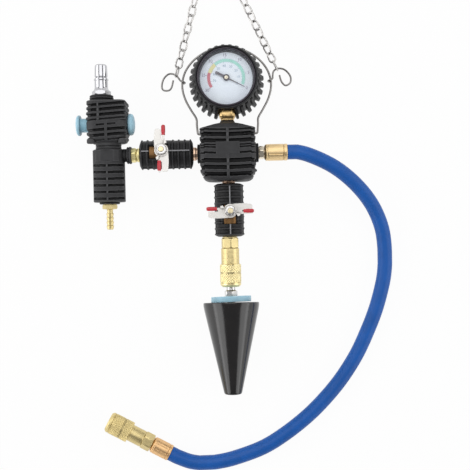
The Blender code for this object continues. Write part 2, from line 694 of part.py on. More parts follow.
def make_nipples():
    block_end = BLOCK_REACH - THREAD_DEPTH + SEAT_GAP
    ring_near = BLOCK_REACH + SEAT_GAP
    valve_1_end = -(VALVE_1_STEM_X + VALVE_LONG_SIDE)
    valve_2_end = -(VALVE_2_STEM_Y + VALVE_LONG_SIDE)
    grip = THREAD_DEPTH - SEAT_GAP
    left = Matrix.Rotation(math.radians(-90), 4, "Y")
    down = Matrix.Rotation(math.radians(90), 4, "X")
    make_nipple("nipple_left", block_end, valve_1_end + grip, ring_near, valve_1_end - SEAT_GAP, left)
    make_nipple("nipple_lower", block_end, valve_2_end + grip, ring_near, valve_2_end - SEAT_GAP, down)
    collar_end = MANIFOLD_WIDTH / 2 + COLLAR_RISE + SEAT_GAP
    hex_ring = hexagon(HOSE_NIPPLE_FLATS, HIDDEN_SIDES)
    hex_end = FERRULE_START - SEAT_GAP
    tail_end = FERRULE_END - SEAT_GAP
    turned("hose_nipple",
           [(block_end, PIPE_THREAD_RADIUS), (collar_end, PIPE_THREAD_RADIUS), (collar_end, hex_ring),
            (hex_end, hex_ring), (hex_end, HOSE_BARB_RADIUS), (tail_end, HOSE_BARB_RADIUS)],
           RED_BRASS, (0, 0, AXIS_HEIGHT), ALONG_X, sides=HIDDEN_SIDES,
           bore=[(block_end, PIPE_BORE_RADIUS), (tail_end, PIPE_BORE_RADIUS * 0.9)])


def lever_outline():
    """Half of the butterfly lever's outline: plate on one side of the arm, prong on the other."""
    plate_inside = LEVER_PLATE_INSIDE
    plate_outside = plate_inside - LEVER_PLATE_WIDTH
    corner = LEVER_PLATE_CORNER
    neck = math.sqrt(LEVER_HUB_RADIUS ** 2 - plate_outside ** 2 * 0.5)
    return [
        (LEVER_PRONG_OUTSIDE, neck), (LEVER_PRONG_OUTSIDE, LEVER_PRONG_REACH),
        (LEVER_PRONG_INSIDE, LEVER_PRONG_REACH), (LEVER_PRONG_INSIDE, LEVER_SLOT_START),
        (plate_inside, LEVER_SLOT_START), (plate_inside, LEVER_PLATE_REACH - corner / 2),
        (plate_inside - corner / 2, LEVER_PLATE_REACH), (plate_outside + corner, LEVER_PLATE_REACH),
        (plate_outside, LEVER_PLATE_REACH - corner), (plate_outside, neck),
    ]


def make_valve(tag, stem_place, pipe_angle, lean, boot_start):
    """A ball valve in its own frame: pipe along X, stem along Z, ball centre at the origin."""
    frame = bpy.data.objects.new(tag + "_frame", None)
    bpy.context.scene.collection.objects.link(frame)
    frame.matrix_local = (Matrix.Translation(stem_place) @ Matrix.Rotation(pipe_angle, 4, "Z")
                          @ Matrix.Rotation(lean, 4, "X"))
    origin = (0, 0, 0)
    short, long_ = VALVE_SHORT_SIDE, VALVE_LONG_SIDE
    ball_end = VALVE_BALL_RADIUS + RUNNING_GAP
    ball_room = ball_end / math.cos(math.pi / HIDDEN_SIDES)
    port = PIPE_THREAD_RADIUS + SEAT_GAP
    hex_end = hexagon(VALVE_END_FLATS, HIDDEN_SIDES)
    body = turned(
        tag + "_body",
        [(-short, hex_end), (-short + VALVE_END_LENGTH, hex_end),
         (-short + VALVE_END_LENGTH, VALVE_BODY_RADIUS), (long_ - VALVE_END_LENGTH, VALVE_BODY_RADIUS),
         (long_ - VALVE_END_LENGTH, hex_end), (long_, hex_end)],
        BRASS, origin, ALONG_X, frame, HIDDEN_SIDES,
        bore=[(-short, port), (-short + THREAD_DEPTH, port), (-short + THREAD_DEPTH, VALVE_BORE_RADIUS),
              (-ball_end, VALVE_BORE_RADIUS), (-ball_end, ball_room), (ball_end, ball_room),
              (ball_end, VALVE_BORE_RADIUS), (long_ - THREAD_DEPTH, VALVE_BORE_RADIUS),
              (long_ - THREAD_DEPTH, port), (long_, port)])
    bonnet = cylinder(tag + "_bonnet", VALVE_BONNET_RADIUS, VALVE_BODY_RADIUS - STEM_FLANGE_THICK * 2,
                      VALVE_BONNET_TOP - STEM_FLANGE_THICK - SEAT_GAP, origin, UPRIGHT, frame)
    fuse(body, bonnet)
    stem_hole = STEM_RADIUS + RUNNING_GAP
    cut(body, cylinder(tag + "_stem_hole", stem_hole, VALVE_BORE_RADIUS, VALVE_BONNET_TOP + CUT_OVERRUN,
                       origin, UPRIGHT, frame))

    ball_rings = []
    ball_steps = 8
    rim = math.asin(VALVE_BORE_RADIUS / VALVE_BALL_RADIUS)
    for step in range(ball_steps + 1):
        angle = rim + (math.pi - 2 * rim) * step / ball_steps
        ball_rings.append((-VALVE_BALL_RADIUS * math.cos(angle), VALVE_BALL_RADIUS * math.sin(angle)))
    ends = ball_rings[0][0], ball_rings[-1][0]
    bore_radius = VALVE_BORE_RADIUS * 0.94
    ball = turned(tag + "_ball", ball_rings, CHROME, origin, ALONG_Y, frame, HIDDEN_SIDES,
                  bore=[(ends[0], bore_radius), (ends[1], bore_radius)])
    slot_half = STEM_TANG_WIDTH / 2 + RUNNING_GAP
    slot_floor = VALVE_BALL_RADIUS - STEM_SLOT_DEPTH
    slot_long = VALVE_BALL_RADIUS + CUT_OVERRUN
    cut(ball, block(tag + "_ball_slot", (-slot_half, -slot_long, slot_floor),
                    (slot_half, slot_long, slot_long), frame))

    flange_low = VALVE_BONNET_TOP - STEM_FLANGE_THICK
    plate_low = VALVE_BONNET_TOP + SEAT_GAP
    plate_high = plate_low + LEVER_THICK
    nut_low = plate_high + SEAT_GAP
    stem_top = nut_low + LEVER_NUT_HEIGHT + STEM_END_RISE
    stem_start = VALVE_BALL_RADIUS + RUNNING_GAP
    tang = STEM_TANG_WIDTH / 2
    stem = turned(tag + "_stem",
                  [(stem_start, STEM_RADIUS), (flange_low, STEM_RADIUS), (flange_low, STEM_FLANGE_RADIUS),
                   (VALVE_BONNET_TOP, STEM_FLANGE_RADIUS), (VALVE_BONNET_TOP, STEM_RADIUS),
                   (stem_top - SMALL_BEVEL, STEM_RADIUS), (stem_top, STEM_RADIUS - SMALL_BEVEL)],
                  BRASS, origin, UPRIGHT, frame, HIDDEN_SIDES)
    fuse(stem, block(tag + "_tang", (-tang, -STEM_RADIUS * 0.8, slot_floor + RUNNING_GAP),
                     (tang, STEM_RADIUS * 0.8, stem_start + STEM_FLANGE_THICK), frame))

    half = lever_outline()
    outline = half + [(-x, -y) for x, y in half]
    lever = plate(tag + "_lever", outline, plate_low, plate_high, NICKEL, origin, UPRIGHT, frame)
    fuse(lever, cylinder(tag + "_lever_hub", LEVER_HUB_RADIUS, plate_low - SMALL_BEVEL / 4,
                         plate_high + SMALL_BEVEL / 4, origin, UPRIGHT, frame))
    cut(lever, cylinder(tag + "_lever_hole", stem_hole, 0.0, stem_top, origin, UPRIGHT, frame))
    turned(tag + "_lever_nut",
           [(nut_low, hexagon(LEVER_NUT_FLATS, HIDDEN_SIDES)),
            (nut_low + LEVER_NUT_HEIGHT, hexagon(LEVER_NUT_FLATS, HIDDEN_SIDES))],
           BRASS, origin, UPRIGHT, frame, HIDDEN_SIDES,
           bore=[(nut_low, stem_hole), (nut_low + LEVER_NUT_HEIGHT, stem_hole)])

    prong_mid = (LEVER_PRONG_OUTSIDE + LEVER_PRONG_INSIDE) / 2
    grip_mid = (plate_low + plate_high) / 2
    slot_x = (LEVER_PRONG_OUTSIDE - LEVER_PRONG_INSIDE) / 2 + SEAT_GAP
    slot_z = LEVER_THICK / 2 + SEAT_GAP
    for letter, side in (("a", 1), ("b", -1)):
        grip_face = Matrix.Rotation(math.radians(-90 * side), 4, "X")
        grip = plate(tag + "_grip_" + letter, slab(GRIP_WIDTH, GRIP_HEIGHT, GRIP_HEIGHT * 0.35),
                     GRIP_START, GRIP_START + GRIP_LENGTH, RED_VINYL,
                     (side * prong_mid, 0, grip_mid), grip_face, frame)
        low_y, high_y = sorted((side * (GRIP_START - CUT_OVERRUN), side * (LEVER_PRONG_REACH + SEAT_GAP)))
        cut(grip, block(tag + "_grip_slot_" + letter,
                        (side * prong_mid - slot_x, low_y, grip_mid - slot_z),
                        (side * prong_mid + slot_x, high_y, grip_mid + slot_z), frame))

    boot_end = boot_start + VALVE_BOOT_LENGTH
    grooves = []
    for i in range(VALVE_RIBS_PER_END):
        step = VALVE_RIB_PITCH * (i + 1) - VALVE_GROOVE_WIDTH
        grooves.append(boot_start + step)
        grooves.append(boot_end - step - VALVE_GROOVE_WIDTH)
    stations = ribbed(boot_start, boot_end, sorted(grooves), VALVE_GROOVE_WIDTH, VALVE_GROOVE_DEPTH)
    profile = [(height, VALVE_BOOT_RADIUS - inset) for height, inset in stations]
    hex_corner = VALVE_END_FLATS / 2 / math.cos(math.radians(30))
    boot_bore = (hex_corner + SEAT_GAP) / math.cos(math.pi / VISIBLE_SIDES)
    boot = turned(tag + "_boot", profile, RUBBER, origin, ALONG_X, frame, VISIBLE_SIDES,
                  bore=[(boot_start, boot_bore), (boot_end, boot_bore)])
    half_length = VALVE_WINDOW_LENGTH / 2
    half_width = VALVE_WINDOW_WIDTH / 2
    cut(boot, block(tag + "_window", (-half_length, -half_width, 0.0),
                    (half_length, half_width, VALVE_BOOT_RADIUS + CUT_OVERRUN), frame))


def make_venturi():
    level = AXIS_HEIGHT
    tail = (TAIL_X, 0, level)
    head = (HEAD_X, 0, level)
    inlet = (INLET_X, 0, level)
    spool_place = (HEAD_X, SPOOL_Y, level)
    core_half = CORE_WIDTH / 2
    gap = SEAT_GAP
    body = plate("venturi_body", slab(CORE_WIDTH, CORE_DEPTH, SMALL_BEVEL * 5), CORE_BOTTOM, CORE_TOP,
                 BLACK_METAL, head, ALONG_Y)
    side_end = SIDE_FLANGE_START - TAIL_X
    fuse(body,
         cylinder("tail_tube", TAIL_TUBE_RADIUS, TAIL_TUBE_BOTTOM, CORE_BOTTOM + CUT_OVERRUN, tail, ALONG_Y,
                  sides=VISIBLE_SIDES),
         cylinder("inlet_boss", INLET_BOSS_RADIUS, SPOOL_Y, INLET_BOSS_TOP, inlet, ALONG_Y),
         cylinder("side_boss", SIDE_BOSS_RADIUS, 0.0, side_end, tail, ALONG_X @ CROSSING))
    spool_room = SPOOL_RADIUS + RUNNING_GAP
    core_through = core_half + CUT_OVERRUN
    cut(body,
        cylinder("spool_bore", spool_room, -core_through, core_through, spool_place, ALONG_X),
        cylinder("tail_bore", TAIL_BORE_RADIUS, TAIL_TUBE_BOTTOM - CUT_OVERRUN, NOZZLE_TOP + gap,
                 tail, ALONG_Y),
        cylinder("feed_bore", SIDE_BORE_RADIUS, NOZZLE_TOP, SPOOL_Y, tail, ALONG_Y @ CROSSING),
        cylinder("inlet_bore", PLUG_BORE_RADIUS, SPOOL_Y, HEAD_TOP, inlet, ALONG_Y @ CROSSING),
        cylinder("inlet_port", PLUG_THREAD_RADIUS + gap, HEAD_NECK_TOP - PLUG_THREAD_LENGTH - gap,
                 HEAD_NECK_TOP + CUT_OVERRUN, inlet, ALONG_Y),
        cylinder("side_bore", SIDE_BORE_RADIUS, 0.0, side_end + CUT_OVERRUN, tail,
                 ALONG_X @ CROSSING),
        cylinder("side_port", SIDE_THREAD_RADIUS + gap, side_end - SIDE_THREAD_LENGTH,
                 side_end + CUT_OVERRUN, tail, ALONG_X))

    nozzle_radius = TAIL_BORE_RADIUS - gap
    nozzle = turned("venturi_nozzle",
                    [(NOZZLE_BOTTOM, nozzle_radius), (-NOZZLE_THROAT_Y, nozzle_radius),
                     (-NOZZLE_THROAT_Y, NOZZLE_NECK_RADIUS), (NOZZLE_THROAT_Y, NOZZLE_NECK_RADIUS),
                     (NOZZLE_THROAT_Y, nozzle_radius), (NOZZLE_TOP, nozzle_radius)],
                    BRASS, tail, ALONG_Y, sides=HIDDEN_SIDES,
                    bore=[(NOZZLE_BOTTOM, NOZZLE_MOUTH_RADIUS), (0.0, NOZZLE_THROAT_RADIUS * 1.3),
                          (NOZZLE_THROAT_Y, NOZZLE_THROAT_RADIUS), (NOZZLE_TOP, NOZZLE_MOUTH_RADIUS)])
    cut(nozzle, cylinder("suction_hole", NOZZLE_THROAT_RADIUS, 0.0, TAIL_BORE_RADIUS, tail, ALONG_X))

    first_groove = HEAD_TOP - (HEAD_RIBS - 1) * HEAD_RIB_PITCH
    grooves = [first_groove + i * HEAD_RIB_PITCH - HEAD_GROOVE_WIDTH for i in range(HEAD_RIBS - 1)]
    stations = ribbed(HEAD_BOTTOM, HEAD_TOP, grooves, HEAD_GROOVE_WIDTH, HEAD_GROOVE_DEPTH)
    rounding = HEAD_END_ROUND
    stations = stations[:-1] + [(HEAD_TOP - SMALL_BEVEL * 2, 0.0), (HEAD_TOP, SMALL_BEVEL * 2)]
    stations.insert(1, (HEAD_BOTTOM + rounding * 0.25, 0.0))
    outer = []
    for height, inset in stations:
        inset += end_inset(height - HEAD_BOTTOM, rounding) * 0.9
        outer.append((height, slab(HEAD_WIDTH - 2 * inset, HEAD_DEPTH - 2 * inset, HEAD_CORNER)))
    boot = lofted("head_boot", outer, RUBBER, head, ALONG_Y)
    neck_round = HEAD_NECK_ROUND
    neck = turned("head_neck", [(SPOOL_Y, HEAD_NECK_RADIUS), (HEAD_NECK_TOP - neck_round, HEAD_NECK_RADIUS),
                                (HEAD_NECK_TOP - neck_round / 3, HEAD_NECK_RADIUS - neck_round / 3),
                                (HEAD_NECK_TOP, HEAD_NECK_RADIUS - neck_round)], None, inlet, ALONG_Y)
    barrel_half = HEAD_WIDTH * 0.36
    barrel = cylinder("spool_barrel", HEAD_DEPTH / 2 + SPOOL_BARREL_RISE, -barrel_half, barrel_half,
                      spool_place, ALONG_X, sides=VISIBLE_SIDES)
    barrel.scale = (1.0, SPOOL_BARREL_RADIUS / (HEAD_DEPTH / 2), 1.0)
    fuse(boot, neck, barrel)
    core_gap = core_half + gap
    depth_gap = CORE_DEPTH / 2 + gap
    button_hole = BUTTON_NECK_RADIUS + 2 * RUNNING_GAP
    side_reach = HEAD_WIDTH / 2 + CUT_OVERRUN
    cut(boot,
        block("head_cavity", (HEAD_X - core_gap, CORE_BOTTOM - gap, level - depth_gap),
              (HEAD_X + core_gap, CORE_TOP + gap, level + depth_gap)),
        cylinder("head_inlet_hole", INLET_BOSS_RADIUS + gap, SPOOL_Y, HEAD_NECK_TOP + CUT_OVERRUN,
                 inlet, ALONG_Y),
        cylinder("head_tail_hole", TAIL_TUBE_RADIUS + gap, HEAD_BOTTOM - CUT_OVERRUN, CORE_TOP, tail, ALONG_Y,
                 sides=VISIBLE_SIDES),
        cylinder("head_spool_hole", button_hole, -side_reach, side_reach, spool_place, ALONG_X))

    tail_grooves = []
    for i in range(TAIL_RIBS):
        tail_grooves.append(TAIL_TOP - TAIL_PLAIN_TOP - i * TAIL_RIB_PITCH - TAIL_GROOVE_WIDTH)
    stations = ribbed(TAIL_BOTTOM, TAIL_TOP, sorted(tail_grooves), TAIL_GROOVE_WIDTH, TAIL_GROOVE_DEPTH)
    profile = [(height, TAIL_RADIUS - inset) for height, inset in stations]
    collar_bottom = TAIL_BOTTOM - TAIL_COLLAR_RISE
    profile = [(collar_bottom, TAIL_COLLAR_RADIUS), (TAIL_BOTTOM - SMALL_BEVEL, TAIL_COLLAR_RADIUS),
               (TAIL_BOTTOM, TAIL_RADIUS - SMALL_BEVEL)] + profile[1:]
    profile.insert(3, (TAIL_BOTTOM + SMALL_BEVEL, TAIL_RADIUS))
    profile[-1] = (TAIL_TOP - SMALL_BEVEL, TAIL_RADIUS)
    profile.append((TAIL_TOP, TAIL_RADIUS - SMALL_BEVEL))
    tail_boot = turned("tail_boot", profile, RUBBER, tail, ALONG_Y)
    flange_end = SIDE_FLANGE_END - TAIL_X
    flange = turned("side_flange", [(0.0, SIDE_COLLAR_RADIUS), (side_end, SIDE_COLLAR_RADIUS),
                                    (side_end, SIDE_FLANGE_RADIUS), (flange_end, SIDE_FLANGE_RADIUS)],
                    None, tail, ALONG_X)
    fuse(tail_boot, flange)
    cut(tail_boot,
        cylinder("tail_hole", TAIL_TUBE_RADIUS + gap, TAIL_TUBE_BOTTOM - gap, TAIL_TOP + CUT_OVERRUN,
                 tail, ALONG_Y, sides=VISIBLE_SIDES),
        cylinder("tail_end_hole", TAIL_BORE_RADIUS + gap, collar_bottom - CUT_OVERRUN, TAIL_TOP,
                 tail, ALONG_Y),
        cylinder("side_hole", SIDE_BOSS_RADIUS + gap, 0.0, flange_end + CUT_OVERRUN, tail, ALONG_X))

    neck_end = BUTTON_RIM + SPOOL_STROKE + SPOOL_BARREL_RISE * 2
    left_face = -HEAD_WIDTH / 2 - SPOOL_STROKE - 2 * RUNNING_GAP
    left_start = left_face - BUTTON_RIM
    right_start = HEAD_WIDTH / 2 + RUNNING_GAP
    right_end = right_start + BUTTON_RIGHT_THICK
    left_socket = left_face + neck_end - BUTTON_RIM - BUTTON_SOCKET_DEPTH
    right_socket = right_start - BUTTON_RIM + BUTTON_SOCKET_DEPTH
    socket_radius = SPOOL_NECK_RADIUS + gap
    land_left = -core_half + SPOOL_STROKE * 0.3
    land_right = land_left + SPOOL_LAND_LENGTH * 2
    turned("spool",
           [(left_socket + gap, SPOOL_NECK_RADIUS), (land_left, SPOOL_NECK_RADIUS), (land_left, SPOOL_RADIUS),
            (land_left + SPOOL_LAND_LENGTH, SPOOL_RADIUS), (land_left + SPOOL_LAND_LENGTH, SPOOL_NECK_RADIUS),
            (land_right, SPOOL_NECK_RADIUS), (land_right, SPOOL_RADIUS),
            (land_right + SPOOL_LAND_LENGTH, SPOOL_RADIUS),
            (land_right + SPOOL_LAND_LENGTH, SPOOL_NECK_RADIUS),
            (right_socket - gap, SPOOL_NECK_RADIUS)],
           STEEL, spool_place, ALONG_X, sides=HIDDEN_SIDES)
    turned("button_left",
           [(left_start, BUTTON_RADIUS * 0.72), (left_start + BUTTON_DOME, BUTTON_RADIUS),
            (left_face - SMALL_BEVEL, BUTTON_RADIUS), (left_face, BUTTON_RADIUS - SMALL_BEVEL),
            (left_face, BUTTON_NECK_RADIUS), (left_face + neck_end - BUTTON_RIM, BUTTON_NECK_RADIUS),
            (left_face + neck_end - BUTTON_RIM, socket_radius), (left_socket, socket_radius)],
           BLUE_PLASTIC, spool_place, ALONG_X)
    turned("button_right",
           [(right_socket, socket_radius), (right_start - BUTTON_RIM, socket_radius),
            (right_start - BUTTON_RIM, BUTTON_NECK_RADIUS), (right_start, BUTTON_NECK_RADIUS),
            (right_start, BUTTON_RIGHT_RADIUS), (right_end - BUTTON_DOME * 2, BUTTON_RIGHT_RADIUS),
            (right_end - BUTTON_DOME * 0.6, BUTTON_RIGHT_RADIUS * 0.82),
            (right_end, BUTTON_RIGHT_RADIUS * 0.45)],
           BLUE_PLASTIC, spool_place, ALONG_X)

    plug_base = HEAD_NECK_TOP + gap
    thread_end = HEAD_NECK_TOP - PLUG_THREAD_LENGTH
    hex_ring = hexagon(PLUG_HEX_FLATS, VISIBLE_SIDES)
    turned("inlet_plug",
           [(thread_end, PLUG_THREAD_RADIUS), (plug_base, PLUG_THREAD_RADIUS), (plug_base, hex_ring),
            (PLUG_HEX_TOP_Y, hex_ring), (PLUG_CYLINDER_END_Y, PLUG_BODY_RADIUS),
            (PLUG_GROOVE_END_Y, PLUG_BODY_RADIUS), (PLUG_GROOVE_END_Y + SMALL_BEVEL, PLUG_GROOVE_RADIUS),
            (PLUG_TAPER_Y - SMALL_BEVEL, PLUG_GROOVE_RADIUS), (PLUG_TAPER_Y, PLUG_BODY_RADIUS - SMALL_BEVEL),
            (PLUG_NOSE_Y - 2 * SMALL_BEVEL, PLUG_NOSE_RADIUS),
            (PLUG_NOSE_Y, PLUG_NOSE_RADIUS - 2 * SMALL_BEVEL)],
           CHROME, inlet, ALONG_Y,
           bore=[(thread_end, PLUG_BORE_RADIUS), (PLUG_NOSE_Y, PLUG_BORE_RADIUS)])

    barb_hex_top = collar_bottom - gap
    barb_hex_end = barb_hex_top - BARB_HEX_HEIGHT
    barb_pitch = (barb_hex_end - BARB_END_Y) / (BARB_COUNT + 1)
    profile = [(BARB_END_Y, BARB_ROOT_RADIUS)]
    for i in range(BARB_COUNT):
        start = BARB_END_Y + i * barb_pitch
        profile.append((start + barb_pitch * 0.92, BARB_RADIUS))
        profile.append((start + barb_pitch, BARB_ROOT_RADIUS))
    barb_ring = hexagon(BARB_HEX_FLATS, HIDDEN_SIDES)
    barb_top = barb_hex_top + BARB_THREAD_LENGTH
    profile += [(barb_hex_end, BARB_ROOT_RADIUS), (barb_hex_end, barb_ring), (barb_hex_top, barb_ring),
                (barb_hex_top, nozzle_radius), (barb_top, nozzle_radius)]
    turned("barb_fitting", profile, BRASS, tail, ALONG_Y, sides=HIDDEN_SIDES,
           bore=[(BARB_END_Y, BARB_BORE_RADIUS), (barb_top, BARB_BORE_RADIUS)])

    valve_end = VALVE_1_STEM_X - VALVE_SHORT_SIDE - TAIL_X
    nut_start = flange_end + gap
    nut_end = nut_start + SIDE_NUT_LENGTH
    collar_end = valve_end - gap
    groove = nut_end + NIPPLE_GROOVE_WIDTH
    side_hex = hexagon(SIDE_NUT_FLATS, HIDDEN_SIDES)
    side_tip = side_end - SIDE_THREAD_LENGTH + gap
    side_grip = valve_end + THREAD_DEPTH - gap
    turned("side_nipple",
           [(side_tip, SIDE_THREAD_RADIUS), (nut_start, SIDE_THREAD_RADIUS), (nut_start, side_hex),
            (nut_end, side_hex), (nut_end, NIPPLE_GROOVE_RADIUS), (groove, NIPPLE_GROOVE_RADIUS),
            (groove, NIPPLE_RING_RADIUS), (collar_end, NIPPLE_RING_RADIUS),
            (collar_end, PIPE_THREAD_RADIUS), (side_grip, PIPE_THREAD_RADIUS)],
           BRASS, tail, ALONG_X, sides=HIDDEN_SIDES,
           bore=[(side_tip, SIDE_BORE_RADIUS), (side_grip, SIDE_BORE_RADIUS)])


def fin_ring(tip, root):
    """A toothed outline, one tip and one root for each fin."""
    count = 2 * GAUGE_FINS
    turn = 2 * math.pi / count
    return [((tip if i % 2 == 0 else root) * math.cos(turn * i),
             (tip if i % 2 == 0 else root) * math.sin(turn * i)) for i in range(count)]


def make_gauge():
    gauge = (0, GAUGE_Y, 0)
    gap = SEAT_GAP
    tube_side = GAUGE_Y + BOURDON_LOOP_RADIUS * math.sin(BOURDON_START) - BOURDON_TUBE_RADIUS
    socket_inner_top = tube_side - gap
    bore = GAUGE_CASE_RADIUS + gap
    floor = GAUGE_BACK + GAUGE_FLOOR
    ring_low = GAUGE_FIN_FRONT + GAUGE_RING_ROUND
    boot = turned("gauge_boot",
                  [(GAUGE_BACK, fin_ring(GAUGE_FIN_RADIUS - GAUGE_RING_ROUND, GAUGE_FIN_ROOT)),
                   (GAUGE_FIN_BEND, fin_ring(GAUGE_FIN_RADIUS, GAUGE_FIN_ROOT)),
                   (GAUGE_FIN_FRONT, fin_ring(GAUGE_FIN_FRONT_RADIUS, GAUGE_RING_RADIUS)),
                   (ring_low, fin_ring(GAUGE_RING_RADIUS, GAUGE_RING_RADIUS)),
                   (GAUGE_FRONT - GAUGE_RING_ROUND, fin_ring(GAUGE_RING_RADIUS, GAUGE_RING_RADIUS)),
                   (GAUGE_FRONT, fin_ring(GAUGE_RING_RADIUS - GAUGE_RING_ROUND,
                                          GAUGE_RING_RADIUS - GAUGE_RING_ROUND))],
                  RUBBER, gauge, UPRIGHT, sides=2 * GAUGE_FINS,
                  bore=[(GAUGE_BACK, GAUGE_BACK_HOLE), (floor, GAUGE_BACK_HOLE), (floor, bore),
                        (GAUGE_FRONT, bore)])
    socket_half = SOCKET_SIDE / 2 + gap
    cut(boot, block("gauge_stem_gap",
                    (-socket_half, SOCKET_BOTTOM - CUT_OVERRUN, AXIS_HEIGHT - socket_half),
                    (socket_half, GAUGE_Y, AXIS_HEIGHT + socket_half)))

    case_low = floor + gap
    bezel_low = GAUGE_FRONT - GAUGE_BEZEL_HEIGHT
    case_top = bezel_low - gap
    inner = GAUGE_CASE_RADIUS - GAUGE_CASE_WALL
    case_floor = case_low + GAUGE_CASE_WALL
    case = turned("gauge_case",
                  [(case_low, GAUGE_CASE_RADIUS), (case_top, GAUGE_CASE_RADIUS), (case_top, inner),
                   (case_floor, inner)],
                  BLACK_METAL, gauge, UPRIGHT)
    stem_hole = SOCKET_STEM_RADIUS + gap
    centre = (0, 0, AXIS_HEIGHT)
    cut(case, cylinder("case_stem_hole", stem_hole, SOCKET_BOTTOM, socket_inner_top, centre, ALONG_Y))

    lip = GAUGE_BEZEL_LIP
    lens_low = bezel_low + gap / 2
    lens_seat = lens_low + LENS_THICK + gap
    recess = LENS_RADIUS + gap
    turned("gauge_bezel",
           [(bezel_low, GAUGE_CASE_RADIUS), (GAUGE_FRONT - GAUGE_BEZEL_BEVEL, GAUGE_CASE_RADIUS),
            (GAUGE_FRONT, GAUGE_CASE_RADIUS - GAUGE_BEZEL_BEVEL), (GAUGE_FRONT, lip + GAUGE_BEZEL_BEVEL)],
           BLACK_METAL, gauge, UPRIGHT, sides=2 * HIDDEN_SIDES,
           bore=[(bezel_low, recess), (lens_seat, recess), (lens_seat, lip),
                 (GAUGE_FRONT - GAUGE_BEZEL_BEVEL, lip)])
    turned("gauge_lens", [(lens_low, LENS_RADIUS), (lens_low + LENS_THICK, LENS_RADIUS)],
           GLASS, gauge, UPRIGHT, sides=2 * HIDDEN_SIDES)

    dial_top = GAUGE_FRONT - DIAL_DEPTH
    dial_low = dial_top - DIAL_THICK
    turned("dial_plate", [(dial_low, DIAL_RADIUS), (dial_top, DIAL_RADIUS)], DIAL_WHITE, gauge, UPRIGHT,
           bore=[(dial_low, DIAL_HOLE), (dial_top, DIAL_HOLE)])
    pointer_low = dial_top + POINTER_LIFT
    pointer_high = pointer_low + POINTER_THICK
    facing = Matrix.Rotation(POINTER_ANGLE, 4, "Z")
    tail = POINTER_TAIL_WIDTH / 2
    root = POINTER_ROOT_WIDTH / 2
    tip = POINTER_TIP_WIDTH / 2
    hub_flat = POINTER_HUB_RADIUS * 0.6
    blade = [(POINTER_LENGTH, -tip), (POINTER_LENGTH, tip), (hub_flat, root), (0.0, tail),
             (-POINTER_TAIL, tail), (-POINTER_TAIL, -tail), (0.0, -tail), (hub_flat, -root)]
    pointer = plate("pointer", blade, pointer_low, pointer_high, DARK_PAINT, gauge, facing)
    fuse(pointer, cylinder("pointer_disc", POINTER_HUB_RADIUS, pointer_low - SMALL_BEVEL / 2,
                           pointer_high + SMALL_BEVEL / 2, gauge, facing))
    shaft_room = POINTER_SHAFT_RADIUS + RUNNING_GAP
    cut(pointer, cylinder("pointer_hole", shaft_room, floor, GAUGE_FRONT, gauge, UPRIGHT))
    movement_top = dial_low - MOVEMENT_TOP_GAP
    movement_low = movement_top - MOVEMENT_HEIGHT
    cap_low = pointer_high + SMALL_BEVEL / 2 + gap
    turned("pointer_shaft",
           [(movement_low + MOVEMENT_HEIGHT / 3, POINTER_SHAFT_RADIUS), (cap_low, POINTER_SHAFT_RADIUS),
            (cap_low, POINTER_CAP_RADIUS), (cap_low + POINTER_CAP_HEIGHT, POINTER_CAP_RADIUS * 0.8)],
           BRASS, gauge, UPRIGHT, sides=HIDDEN_SIDES)
    movement = plate("gauge_movement", slab(MOVEMENT_LENGTH, MOVEMENT_WIDTH, SMALL_BEVEL * 3),
                     movement_low, movement_top, BRASS, gauge, UPRIGHT)
    post_end = socket_inner_top + gap
    post_half = SOCKET_STEM_RADIUS * 0.8
    fuse(movement, block("movement_arm", (-post_half / 2, post_end, AXIS_HEIGHT - post_half / 2),
                         (post_half / 2, GAUGE_Y, movement_low + MOVEMENT_HEIGHT / 2)))
    cut(movement, cylinder("movement_bore", shaft_room, movement_low + MOVEMENT_HEIGHT / 3 - gap,
                           GAUGE_FRONT, gauge, UPRIGHT, sides=HIDDEN_SIDES))

    loop_steps = 14
    arc = []
    for i in range(loop_steps + 1):
        angle = BOURDON_START + BOURDON_SWEEP * i / loop_steps
        arc.append((BOURDON_LOOP_RADIUS * math.cos(angle), BOURDON_LOOP_RADIUS * math.sin(angle), 0.0))
    wire("bourdon_tube", arc, BOURDON_TUBE_RADIUS, BRASS, (0, GAUGE_Y, AXIS_HEIGHT))

    side = SOCKET_SIDE
    steps = slab(side, side, SMALL_BEVEL * 3)
    count = len(steps)
    taper = slab(side - 2 * SOCKET_TAPER, side - 2 * SOCKET_TAPER, SMALL_BEVEL * 3)
    neck_top = MANIFOLD_TOP + SHOULDER_RISE + NECK_RISE + gap

    def even(radius):
        return slab(2 * radius, 2 * radius, radius - SMALL_BEVEL / 8)

    stations = [(SOCKET_STEM_BOTTOM, even(SOCKET_STEM_RADIUS)), (neck_top, even(SOCKET_STEM_RADIUS)),
                (neck_top, taper), (SOCKET_BOTTOM, steps), (SOCKET_TOP, steps),
                (SOCKET_TOP, even(SOCKET_STEM_RADIUS)), (socket_inner_top, even(SOCKET_STEM_RADIUS))]
    socket = lofted("gauge_socket", stations, BRASS, centre, ALONG_Y)
    cut(socket, cylinder("socket_bore", SOCKET_BORE_RADIUS, SOCKET_STEM_BOTTOM - CUT_OVERRUN,
                         SOCKET_TOP, centre, ALONG_Y, sides=HIDDEN_SIDES))


